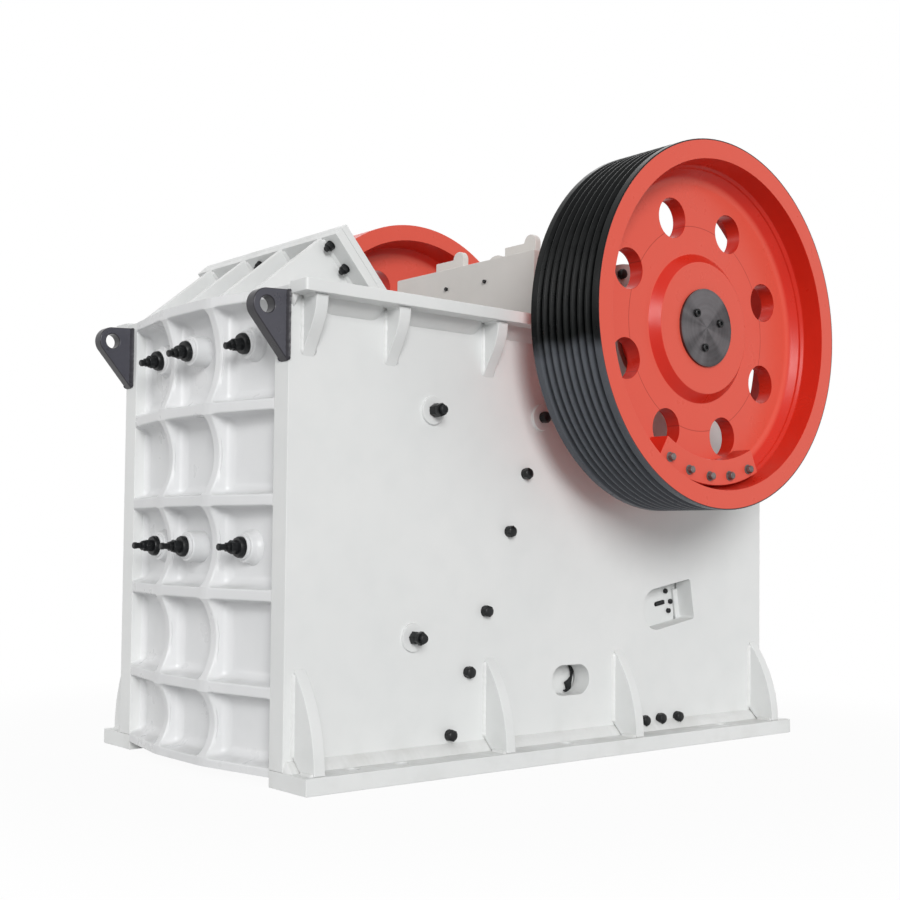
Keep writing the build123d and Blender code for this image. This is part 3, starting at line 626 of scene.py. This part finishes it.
columns = cut_lines(bays, -wall_half, wall_half, parts=5)
levels = cut_lines(rows, wall_low.z, wall_high.z, parts=16)
work = bmesh.new()
face_grid = [
    [work.verts.new((x, front_plane + wall_setback(x, z), z)) for z in levels] for x in columns
]
back_grid = [[work.verts.new((x, wall_back, z)) for z in levels] for x in (columns[0], columns[-1])]
for near_column, far_column in zip(face_grid, face_grid[1:]):
    for index in range(len(levels) - 1):
        following = index + 1
        work.faces.new(
            (near_column[index], far_column[index], far_column[following], near_column[following])
        )
for column, behind in ((face_grid[0], back_grid[0]), (face_grid[-1], back_grid[-1])):
    work.faces.new(column + list(reversed(behind)))
for index in (0, -1):
    edge = [column[index] for column in face_grid]
    work.faces.new(edge + [back_grid[-1][index], back_grid[0][index]])
work.faces.new(back_grid[0] + list(reversed(back_grid[1])))


def bar(work, low, high, ease, slope=0.0):
    """A block between two corners with eased edges, tipped about the X axis by a slope."""
    corners = bmesh.ops.create_cube(work, size=1.0)["verts"]
    middle = (Vector(low) + Vector(high)) / 2
    size = Vector(high) - Vector(low)
    tip = Matrix.Rotation(slope, 3, "X")
    for corner in corners:
        corner.co = middle + tip @ Vector(a * b for a, b in zip(corner.co, size))
    edges = list({edge for corner in corners for edge in corner.link_edges})
    bmesh.ops.bevel(work, geom=edges, offset=ease, segments=2, profile=0.5, affect="EDGES")


ledge_height = 0.118
ledge_sunk = 0.002
ledge_low = (-wall_half, wall_back - ledge_sunk, wall_low.z)
ledge_high = (wall_half, wall_high.y, wall_low.z + ledge_height)
bar(work, ledge_low, ledge_high, ease=0.006)
jaw_bolt_seats = ((-0.393, 0.008), (0.0, -0.058), (0.393, 0.008))
jaw_bolt_heights = (1.925, 1.0185)
boss_root = 0.078
for x, setback in jaw_bolt_seats:
    for z in jaw_bolt_heights:
        deep = boss_root - setback
        boss = [
            (-deep, 0.090, 0),
            (0.026 - deep, 0.086, 0),
            (0.034 - deep, 0.077, 0),
            (0.046 - deep, 0.072, 0),
            (-0.010, 0.070, 0),
            (-0.003, 0.068, 0),
            (0.0, 0.064, 0),
        ]
        ring_solid(work, (x, front_plane + setback, z), (0, -1, 0), boss, points=48)
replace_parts(settle(work, "front_casting", "frame", cast_white, 50.0), "front_wall")


# Jaw bolts: six long studs that pull the fixed jaw plate back against the front wall.
# Each ends on its boss in a painted washer, a black flanged nut, a lock nut and a bare tip.
# The upper studs point a little down, so their nuts sit on the washers at a slight tilt.
jaw_washer = ((-0.014, 0.056, 0), (0.008, 0.056, 0), (0.011, 0.053, 0), (0.011, 0.030, 0))
nut_flange = ((0.010, 0.048, 0), (0.026, 0.048, 0), (0.036, 0.043, 0), (0.038, 0.032, 0))
jaw_nut_foot = 0.034
jaw_nut_size = (0.054, 0.038)
jaw_lock_nut_foot = 0.072
jaw_lock_nut_size = (0.040, 0.018)
upper_dip = 12.0
upper_end = 0.116
lower_end = 0.132
nuts = bmesh.new()
washers = bmesh.new()
for x, setback in jaw_bolt_seats:
    for z in jaw_bolt_heights:
        seat = Vector((x, front_plane + setback, z))
        upper = z == jaw_bolt_heights[0]
        dip = math.radians(upper_dip if upper else 0.0)
        out = Vector((0, -math.cos(dip), -math.sin(dip)))
        ring_solid(washers, seat, out, jaw_washer, points=40)
        ring_solid(nuts, seat, out, nut_flange, points=32)
        turn = bolt_chance.uniform(0, 1)
        hexagon(nuts, seat + out * jaw_nut_foot, out, *jaw_nut_size, turn)
        hexagon(nuts, seat + out * jaw_lock_nut_foot, out, *jaw_lock_nut_size, turn + 0.4)
        end = upper_end if upper else lower_end
        tip = [(0.088, 0.014, 0), (end - 0.020, 0.014, 0), (end - 0.016, 0.016, 0)]
        tip += [(end - 0.004, 0.016, 0), (end, 0.012, 0)]
        ring_solid(nuts, seat, out, tip)
settle(washers, "jaw_bolt_washers", "frame", cast_white)
settle(nuts, "jaw_bolt_nuts", "frame", bolt_black)


# Lifting lugs: thick black eye plates welded to the front edges of the side plates.
# They are flame cut, ground on the edges and brushed with dark gloss paint.
def sideways(place):
    """How squarely a face looks to the left or the right."""
    across = place.node("ShaderNodeNewGeometry", out="Normal").axis("X")
    return across.maths("ABSOLUTE", across, 0.0)


def painted_lit_sides(place, colour):
    """The flat sides are painted paler than the cut edges: painted light on the faces that look to
    either side.
    """
    flat = sideways(place).fade(0.80, 0.96)
    # Painted light: the paler tone on the flat sides stands in for the light they catch.
    return (flat * 0.7).blend(colour, (0.080, 0.080, 0.098, 1))


lug_tones = ((0.014, 0.013, 0.018, 1), (0.034, 0.032, 0.042, 1))
lug_black = coated("lug_black", *lug_tones, 0.14, 0.4, marks=painted_lit_sides)
lug_low, lug_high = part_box("right_lifting_lug")
lug_weld = 0.016
lug_weld_foot = 1.815
for side, sign in sides:
    eased(side + "_lifting_lug", 0.006, lug_black, steps=3)
    work = bmesh.new()
    for face_x, toward in ((lug_low.x, -1), (lug_high.x, 1)):
        bead(
            work,
            (sign * face_x, front_plane, lug_weld_foot),
            (sign * face_x, front_plane, lug_high.z),
            (sign * toward, 0, 0),
            (0, -1, 0),
            lug_weld,
            weld_chance,
        )
    settle(work, side + "_lug_welds", "frame", lug_black, corner=60.0)


# Jaw and cheek plates: manganese steel castings that line the crushing chamber.
# They are left unpainted, dark from the foundry, with patches that rock has worn bright.
def foundry_steel(name, dark, worn, rust):
    """Bare cast steel: a mottled dark skin, worn patches and a trace of rust."""
    finish, shader, place = blank_finish(name)
    crust = place.cloud(22.0, 6.0)
    patches = place.cloud(4.0, 4.0)
    pits = place.cloud(140.0, 3.0)
    bright = patches.fade(0.46, 0.70)
    colour = (bright * 0.8).blend(dark, worn)
    colour = (crust.fade(0.55, 0.78) * 0.5).blend(colour, rust)
    feed(shader, base_color=colour, normal=(crust * 0.6 + pits * 0.4).bump(0.003, 0.5))
    feed(shader, roughness=0.62 - bright * 0.22 + pits * 0.1, metallic=bright * 0.7)
    return finish


jaw_steel = foundry_steel(
    "jaw_steel", (0.070, 0.068, 0.066, 1), (0.260, 0.255, 0.250, 1), (0.120, 0.075, 0.050, 1)
)
for node in ("fixed_jaw_plate", "moving_jaw_plate"):
    eased(node, 0.007, jaw_steel, steps=3)
for side in ("right", "left"):
    for level in ("upper", "lower"):
        eased(side + "_" + level + "_cheek_plate", 0.003, jaw_steel)


# Feed apron: an inclined plate with a wear liner that guides rock into the mouth.
# Four triangular ribs are welded to the top of the front wall and carry it; the liner's bolts
# go through the plate and end in black nuts on its back.
for node in ("feed_apron_plate", "feed_apron_liner", "feed_apron_ribs"):
    eased(node, 0.004, frame_white)
plate_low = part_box("feed_apron_plate")[0]
rib_low, rib_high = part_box("feed_apron_ribs")
rib_thickness = 0.034
rib_count = 4
rib_step = (rib_high.x - rib_low.x - rib_thickness) / (rib_count - 1)
apron_weld = 0.012
apron_washer = ((0.0, 0.023, 0), (0.003, 0.023, 0), (0.004, 0.021, 0))
apron_nut_foot = 0.004
apron_nut_size = (0.038, 0.022)
apron_bolts_across = (-0.538, -0.052, 0.052, 0.538)
apron_bolts_down = (0.046, 0.172)
apron_tip = ((0.026, 0.014, 0), (0.038, 0.014, 0), (0.041, 0.011, 0))
down_slope = Vector((0, 0.6630, -0.7486))
off_back = Vector((0, -0.7486, -0.6630))
back_top = Vector((0, plate_low.y, rib_high.z))
back_length = (rib_high.z - rib_low.z) / -down_slope.z
work = bmesh.new()
for count in range(rib_count):
    for face_x, toward in ((0.0, -1), (rib_thickness, 1)):
        root = back_top + Vector((rib_low.x + rib_step * count + face_x, 0, 0))
        bead(
            work,
            root + down_slope * apron_weld,
            root + down_slope * (back_length - apron_weld),
            (toward, 0, 0),
            off_back,
            apron_weld,
            weld_chance,
        )
settle(work, "apron_welds", "frame", weld_white, corner=60.0)
work = bmesh.new()
for x in apron_bolts_across:
    for along in apron_bolts_down:
        foot = back_top + down_slope * along + Vector((x, 0, 0))
        nut_foot = foot + off_back * apron_nut_foot
        ring_solid(work, foot, off_back, apron_washer)
        hexagon(work, nut_foot, off_back, *apron_nut_size, bolt_chance.uniform(0, 1))
        ring_solid(work, foot, off_back, apron_tip)
settle(work, "apron_nuts", "frame", bolt_black)


# Toggle gear: the toggle plate, its seat, the adjusting wedges and the rear wall behind them.
# Seat, wedges and rear wall are castings painted with the frame; the toggle plate stays bare.
# In each window a flat keeper covers the wedge ends, beside three bolts and a black block that
# fills the seat's slot as painted shade.
for node in ("toggle_seat", "front_adjusting_wedge", "rear_adjusting_wedge"):
    eased(node, 0.004, frame_white)
eased("rear_wall", 0.010, cast_white, steps=3)
eased("toggle_plate", 0.004, jaw_steel)
seat_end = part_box("toggle_seat")[1].x
seat_bolt_places = ((2.556, 0.799), (2.598, 0.742), (2.582, 0.692))
seat_bolt_size = (0.025, 0.014)
toggle_lean = math.radians(10.0)
shade_plug_depth = 0.020
shade_plug_stand = 0.004
keeper_half = 0.007
for side, sign in sides:
    work = bmesh.new()
    for setback, height in seat_bolt_places:
        foot = Vector((sign * seat_end, front_plane + setback, height))
        turn = bolt_chance.uniform(0, 1)
        hexagon(work, foot, (sign, 0, 0), *seat_bolt_size, turn, dome=0.003)
    # Painted shade: a black block fills the seat's slot where its recess would lie in shade.
    shade_plug_x = sorted((sign * (seat_end - shade_plug_depth), sign * (seat_end + shade_plug_stand)))
    shade_plug_low = (shade_plug_x[0], front_plane + 2.478, 0.7225)
    shade_plug_high = (shade_plug_x[1], front_plane + 2.554, 0.7430)
    bar(work, shade_plug_low, shade_plug_high, 0.002, toggle_lean)
    settle(work, side + "_seat_bolts", "frame", bolt_black)
    work = bmesh.new()
    keeper_low = (sign * seat_end - keeper_half, front_plane + 2.632, 0.640)
    keeper_high = (sign * seat_end + keeper_half, front_plane + 2.672, 0.810)
    bar(work, keeper_low, keeper_high, 0.003, toggle_lean)
    settle(work, side + "_wedge_keeper", "frame", frame_white)


# Window fittings: behind the round-ended window of each side plate a plate closes the space
# beside the tension rod, and a hooked black catch hangs in front of it. Both are cut from plate.
catch_faces = (0.625, 0.637)
cover_faces = (0.608, 0.620)
catch_outline = (
    (1.818, 0.427),
    (1.844, 0.427),
    (1.854, 0.409),
    (1.868, 0.399),
    (1.862, 0.391),
    (1.848, 0.397),
    (1.844, 0.383),
    (1.838, 0.365),
    (1.833, 0.337),
    (1.827, 0.300),
    (1.793, 0.294),
    (1.781, 0.304),
    (1.800, 0.311),
    (1.795, 0.326),
    (1.787, 0.345),
    (1.816, 0.359),
    (1.831, 0.373),
    (1.832, 0.394),
)
for side, sign in sides:
    work = bmesh.new()
    for x in catch_faces:
        places = [(sign * x, front_plane + setback, z) for setback, z in catch_outline]
        work.faces.new([work.verts.new(place) for place in places])
    work.verts.ensure_lookup_table()
    corners = len(catch_outline)
    for index in range(corners):
        following = (index + 1) % corners
        edge = (index, following, following + corners, index + corners)
        work.faces.new([work.verts[corner] for corner in edge])
    bmesh.ops.recalc_face_normals(work, faces=work.faces)
    bmesh.ops.bevel(work, geom=work.edges[:], offset=0.002, segments=2, profile=0.5, affect="EDGES")
    settle(work, side + "_window_catch", "frame", bolt_black)
    work = bmesh.new()
    cover_x = sorted(sign * face for face in cover_faces)
    cover_low = (cover_x[0], front_plane + 1.600, 0.262)
    cover_high = (cover_x[1], front_plane + 2.010, 0.474)
    bar(work, cover_low, cover_high, 0.003)
    settle(work, side + "_window_plate", "frame", frame_white)


# Tension rods and springs: round bars that keep the toggle in its seats, each pulled back by
# a coil spring between two plates behind the rear wall. Rods and coils are black.
eased("tension_rods", 0.003, lug_black)
coil_radius = 0.058
wire_radius = 0.0125
wire_points = 10
coil_turns = 5.5
coil_steps = 132
spring_low, spring_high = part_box("tension_springs")
plate_thickness = 0.028
plate_radius = 0.088
plate_edge = 0.003
spring_length = spring_high.y - spring_low.y
spring_z = (spring_low.z + spring_high.z) / 2
spring_x = spring_high.x - plate_radius
work = bmesh.new()
for sign in (1, -1):
    hub = Vector((sign * spring_x, spring_low.y, spring_z))
    for start in (0.0, spring_length - plate_thickness):
        plate = [
            (start, plate_radius - plate_edge, 0),
            (start + plate_edge, plate_radius, 0),
            (start + plate_thickness - plate_edge, plate_radius, 0),
            (start + plate_thickness, plate_radius - plate_edge, 0),
        ]
        ring_solid(work, hub, (0, 1, 0), plate, points=48)
    first = plate_thickness + wire_radius * 0.6
    rise = spring_length - 2 * first
    loops = []
    for step in range(coil_steps + 1):
        angle = math.tau * coil_turns * step / coil_steps
        ray = Vector((math.cos(angle), 0, math.sin(angle)))
        centre = hub + Vector((0, first + rise * step / coil_steps, 0)) + ray * coil_radius
        loop = []
        for point in range(wire_points):
            lean = math.tau * point / wire_points
            offset = ray * math.cos(lean) + Vector((0, 1, 0)) * math.sin(lean)
            loop.append(work.verts.new(centre + offset * wire_radius))
        loops.append(loop)
    skin(work, loops)
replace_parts(settle(work, "tension_coils", "frame", lug_black), "tension_springs")


# Shaft and bearing housings: a forged eccentric shaft in two round cast housings.
# Each housing sits in its side plate and is held by a ring of black bolts through its flange.
def off_shaft(place):
    """The direction and the distance of a place from the middle of the shaft."""
    low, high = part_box("sheave_end_disc")
    centre = (0.0, (low.y + high.y) / 2, (low.z + high.z) / 2)
    away = place.node("ShaderNodeVectorMath", {"operation": "SUBTRACT"}, {0: place, 1: centre})
    flat = away.node("ShaderNodeVectorMath", {"operation": "MULTIPLY"}, {0: away, 1: (0, 1, 1)})
    ray = flat.node("ShaderNodeVectorMath", {"operation": "NORMALIZE"}, {0: flat})
    reach = flat.node("ShaderNodeVectorMath", {"operation": "LENGTH"}, {0: flat}, out="Value")
    return ray, reach


def lathe_steel(name, metal, dark):
    """Turned steel: fine concentric marks round the shaft, oily patches, bright rings, and painted
    reflection: light and dark sectors round the shaft.
    """
    finish, shader, place = blank_finish(name)
    ray, reach = off_shaft(place)
    rings = reach.node("ShaderNodeCombineXYZ", {}, {0: reach})
    marks = rings.cloud(420.0, 2.0)
    bands = rings.cloud(30.0, 2.0)
    # Painted reflection: light and dark sectors round the shaft stand in for the streaky sheen of a
    # turned face.
    painted_sheen_sectors = ray.cloud(1.5, 2.0)
    oil = place.cloud(9.0, 4.0)
    stain_and_sheen = bands.fade(0.3, 0.7) * 0.25 + oil.fade(0.4, 0.75) * 0.25
    stain_and_sheen = stain_and_sheen + painted_sheen_sectors.fade(0.35, 0.65) * 0.5
    feed(shader, base_color=stain_and_sheen.blend(metal, dark), normal=marks.bump(0.0012, 0.6))
    feed(shader, roughness=0.26 + oil * 0.18 + bands * 0.08, metallic=1.0)
    return finish


turned_steel = lathe_steel("turned_steel", (0.175, 0.165, 0.172, 1), (0.050, 0.047, 0.050, 1))
eased("eccentric_shaft", 0.004, turned_steel)
housing_grey = enamel(
    "housing_grey",
    paint=(0.560, 0.545, 0.530, 1),
    shade=(0.500, 0.490, 0.480, 1),
    dust=(0.480, 0.470, 0.450, 1),
    gloss=0.30,
    lumps=0.25,
)
housing_low, housing_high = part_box("right_bearing_housing")
housing_flange = 0.044
flange_face = wall_face + housing_flange
bolt_circle = 0.338
bolts_round = 12
housing_bolt_size = (0.046, 0.030)
shaft_centre = (housing_low + housing_high) / 2
for side, sign in sides:
    eased(side + "_bearing_housing", 0.005, housing_grey)
    work = bmesh.new()
    for count in range(bolts_round):
        angle = math.tau * (count + 0.5) / bolts_round
        foot = Vector((sign * flange_face, shaft_centre.y, shaft_centre.z))
        foot += Vector((0, math.cos(angle), math.sin(angle))) * bolt_circle
        turn = bolt_chance.uniform(0, 1)
        hexagon(work, foot, (sign, 0, 0), *housing_bolt_size, turn, dome=0.004)
    settle(work, side + "_housing_bolts", "frame", bolt_black)


# Pitman: the swinging casting that carries the moving jaw, with a guard over its head.
# The guard is bent from plate with two lifting ears and screwed on; all of it is painted grey.
guard_grey = enamel(
    "guard_grey",
    paint=(0.660, 0.637, 0.607, 1),
    shade=(0.605, 0.587, 0.560, 1),
    dust=(0.610, 0.592, 0.558, 1),
    gloss=0.30,
    lumps=0.05,
)
pitman_grey = enamel(
    "pitman_grey",
    paint=(0.480, 0.470, 0.455, 1),
    shade=(0.400, 0.392, 0.380, 1),
    dust=(0.430, 0.415, 0.390, 1),
    gloss=0.32,
    lumps=0.40,
)
eased("pitman", 0.010, pitman_grey, steps=3)
eased("jaw_clamp", 0.006, pitman_grey)
eased("pitman_guard", 0.005, guard_grey)
eased("guard_ears", 0.005, guard_grey)
guard_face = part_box("pitman_guard")[0].y
screw_sunk = 0.003
guard_screw_size = (0.019, 0.012)
guard_screw_places = ((-0.121, 2.447), (0.193, 2.444))
work = bmesh.new()
for x, z in guard_screw_places:
    foot = (x, guard_face + screw_sunk, z)
    hexagon(work, foot, (0, -1, 0), *guard_screw_size, bolt_chance.uniform(0, 1))
settle(work, "guard_screws", "swing_jaw", bolt_black)


# Wheels: the grooved drive sheave and the plain flywheel, one iron casting each, turned all over.
# They are glossy orange-red enamel; the sheave's grooves are black, and the black laps its edge.
wheel_low, wheel_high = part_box("drive_sheave")
wheel_radius = (wheel_high.z - wheel_low.z) / 2
web_edge = 0.738
rim_foot_round = 0.024
wheel_edge_round = 0.003
turned_line = 0.508
groove_floor = wheel_radius - 0.036


def painted_lit_faces(place, colour):
    """The flat turned faces of a wheel are painted paler than its coves, bores and inner rim:
    painted light on faces that look to either side.
    """
    # Painted light: a paler, less saturated red where a face looks squarely to the side.
    return sideways(place).fade(0.75, 0.97).blend(colour, (0.700, 0.098, 0.064, 1))


def sheave_marks(place, colour):
    """A fine line turned into the web, painted light on the flat faces, and black paint round the
    outer edge of the red face.
    """
    reach = off_shaft(place)[1]
    line = reach.fade(turned_line - 0.003, turned_line - 0.001)
    line = line - reach.fade(turned_line + 0.001, turned_line + 0.003)
    colour = (line * 0.6).blend(painted_lit_faces(place, colour), (0.300, 0.016, 0.010, 1))
    edge = reach.fade(wheel_radius - 0.0075, wheel_radius - 0.0055)
    return edge.blend(colour, (0.010, 0.010, 0.011, 1))


def painted_groove_reflection(place, colour):
    """A painted reflection of the pale ground: grey in the lower half of the sheave's grooves,
    below a wavy line.
    """
    drop = shaft_centre.z - place.axis("Z") + place.cloud(9.0, 2.0) * 0.12
    # Painted reflection: the lower grooves turn grey where glossy black would mirror the floor.
    return (drop.fade(0.18, 0.30) * 0.85).blend(colour, (0.105, 0.112, 0.128, 1))


def fillet_edge(edge):
    """Whether an edge runs round the foot of a wheel's rim, where it meets the web."""
    middle = (edge.verts[0].co + edge.verts[1].co) / 2
    reach = math.hypot(middle.y - shaft_centre.y, middle.z - shaft_centre.z)
    return abs(reach - web_edge) < 0.002


enamel_red = {
    "paint": (0.600, 0.026, 0.012, 1),
    "shade": (0.560, 0.020, 0.009, 1),
    "dust": (0.600, 0.100, 0.072, 1),
    "gloss": 0.18,
    "lumps": 0.04,
    "shine": 0.22,
}
# The wheels' paler flat faces are painted light.
wheel_red = enamel("wheel_red", marks=painted_lit_faces, **enamel_red)
sheave_red = enamel("sheave_red", marks=sheave_marks, **enamel_red)
groove_tones = ((0.0025, 0.0030, 0.0032, 1), (0.006, 0.007, 0.007, 1))
groove_black = coated("groove_black", *groove_tones, 0.14, 0.12, 0.08, painted_groove_reflection)
wheels = {}
for node, finish in (("drive_sheave", sheave_red), ("flywheel", wheel_red)):
    work = shape_of(node)
    round_off(work, rim_foot_round, steps=5, chosen=fillet_edge)
    round_off(work, wheel_edge_round, steps=2)
    wheels[node] = stand_for(work, node, finish)
wheels["drive_sheave"].data.materials.append(groove_black)
for face in wheels["drive_sheave"].data.polygons:
    away = Vector((0, face.center.y - shaft_centre.y, face.center.z - shaft_centre.z))
    if away.length > groove_floor and abs(face.normal.x) < 0.95:
        face.material_index = 1


# Counterweights and end discs: cast segments bolted into the low side of each wheel, and turned
# steel discs screwed to the shaft ends. Weights are red like the wheels, discs stay bare.
zinc_grey = coated("zinc_grey", (0.085, 0.070, 0.068, 1), (0.220, 0.195, 0.190, 1), 0.18, 0.6)
weight_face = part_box("sheave_counterweight")[1].x
disc_low, disc_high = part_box("sheave_end_disc")
shaft_end = (disc_low + disc_high) / 2
weight_bolt_circle = 0.737
weight_bolt_angles = (-117.0, -105.2, -93.0, -81.2, -69.4)
weight_bolt_foot = 0.004
weight_bolt_size = (0.034, 0.022)
weight_washer = ((0.0, 0.024, 0), (0.003, 0.024, 0), (0.004, 0.022, 0))
disc_screw_places = ((-0.075, 0.065), (0.102, 0.032), (-0.013, -0.100))
disc_screw = (
    (0.0, 0.020, 0),
    (0.009, 0.020, 0),
    (0.011, 0.0175, 0),
    (0.011, 0.0115, 0.019),
    (0.003, 0.0115, 0.019),
)
for wheel, sign in (("sheave", 1), ("flywheel", -1)):
    eased(wheel + "_counterweight", 0.005, wheel_red)
    eased(wheel + "_end_disc", 0.002, turned_steel)
    out = Vector((sign, 0, 0))
    work = bmesh.new()
    for angle in weight_bolt_angles:
        ray = Vector((0, math.cos(math.radians(angle)), math.sin(math.radians(angle))))
        foot = Vector((sign * weight_face, shaft_end.y, shaft_end.z)) + ray * weight_bolt_circle
        ring_solid(work, foot, out, weight_washer)
        foot += out * weight_bolt_foot
        turn = bolt_chance.uniform(0, 1)
        hexagon(work, foot, out, *weight_bolt_size, turn, dome=0.003)
    settle(work, wheel + "_weight_bolts", "drive", zinc_grey)
    work = bmesh.new()
    for y, z in disc_screw_places:
        foot = Vector((sign * disc_high.x, shaft_end.y + y, shaft_end.z + z))
        ring_solid(work, foot, out, disc_screw)
    settle(work, wheel + "_disc_screws", "drive", bolt_black)


# Floor, light and camera: a plain pale studio around the machine.
# The floor fades into the white background away from the machine and keeps its shadow near it.
def background_rays(tree):
    """1 for a ray that looks at the background: straight, in a mirror or through glass."""
    straight = Tone(tree).node("ShaderNodeLightPath", out="Is Camera Ray")
    mirrored = straight.node("ShaderNodeLightPath", out="Is Glossy Ray")
    passed = straight.node("ShaderNodeLightPath", out="Is Transmission Ray")
    return straight.maths("MINIMUM", straight + mirrored + passed, 1.0)


floor_half = 30.0
floor_mesh = bpy.data.meshes.new("studio_floor")
floor_signs = ((-1, -1), (1, -1), (1, 1), (-1, 1))
floor_corners = [(floor_half * x, floor_half * y, 0) for x, y in floor_signs]
floor_mesh.from_pydata(floor_corners, [], [(0, 1, 2, 3)])
floor = bpy.data.objects.new("studio_floor", floor_mesh)
bpy.context.scene.collection.objects.link(floor)
pale, matt, spot = blank_finish("pale_floor")
feed(matt, base_color=(0.62, 0.62, 0.62, 1), roughness=0.9, specular_ior_level=0.0)
distance = spot.node("ShaderNodeVectorMath", {"operation": "LENGTH"}, {0: spot}, out="Value")
whiteness = background_rays(pale.node_tree) * (distance.fade(2.0, 4.0) * 0.05 + 0.95)
white = spot.node("ShaderNodeEmission", {}, {"Color": (1, 1, 1, 1), "Strength": 1.0})
matt_tone = Tone(pale.node_tree, matt.outputs[0])
faded = spot.node("ShaderNodeMixShader", {}, {0: whiteness, 1: matt_tone, 2: white})
surface = pale.node_tree.nodes["Material Output"].inputs["Surface"]
pale.node_tree.links.new(faded.socket, surface)
floor_mesh.materials.append(pale)

world = bpy.data.worlds.new("studio_white")
bpy.context.scene.world = world
world.use_nodes = True
sky = world.node_tree.nodes["Background"]
sky.inputs["Color"].default_value = (1.0, 1.0, 1.0, 1)
sky.inputs["Strength"].default_value = 0.46
shown = background_rays(world.node_tree)
backdrop = shown.node("ShaderNodeBackground", {}, {"Color": (1, 1, 1, 1), "Strength": 1.0})
plain_sky = Tone(world.node_tree, sky.outputs[0])
mixed = shown.node("ShaderNodeMixShader", {}, {0: shown, 1: plain_sky, 2: backdrop})
world.node_tree.links.new(mixed.socket, world.node_tree.nodes["World Output"].inputs["Surface"])

for name, toward, strength, softness in (
    ("key_light", (0.80, -0.47, 0.32), 2.10, 24.0),
    ("front_light", (-0.50, -0.78, 0.32), 0.30, 22.0),
    ("rear_light", (-0.60, 0.75, 0.55), 0.50, 50.0),
):
    lamp = bpy.data.lights.new(name, "SUN")
    lamp.energy = strength
    lamp.angle = math.radians(softness)
    holder = bpy.data.objects.new(name, lamp)
    holder.rotation_mode = "QUATERNION"
    holder.rotation_quaternion = Vector(toward).to_track_quat("Z", "Y")
    bpy.context.scene.collection.objects.link(holder)

lens = bpy.data.cameras.new("view_camera")
lens.sensor_width = 36.0
lens.lens = 53.346
lens.shift_x = 0.03136
lens.shift_y = 0.04944
lens.clip_end = 200.0
camera = bpy.data.objects.new("view_camera", lens)
bpy.context.scene.collection.objects.link(camera)
camera_place = (5.4523, -4.6863, 1.0450)
turn, pitch, roll = (math.radians(angle) for angle in (50.6215, 2.0953, 0.66177))
ahead = Vector((-math.sin(turn), math.cos(turn), 0)) * math.cos(pitch)
ahead.z = math.sin(pitch)
level = ahead.cross(Vector((0, 0, 1))).normalized()
upward = level.cross(ahead)
right = level * math.cos(roll) + upward * math.sin(roll)
top = upward * math.cos(roll) - level * math.sin(roll)
facing = Matrix((right, top, -ahead)).transposed().to_4x4()
camera.matrix_world = Matrix.Translation(camera_place) @ facing
bpy.context.scene.camera = camera
bpy.context.scene.view_settings.view_transform = "Standard"
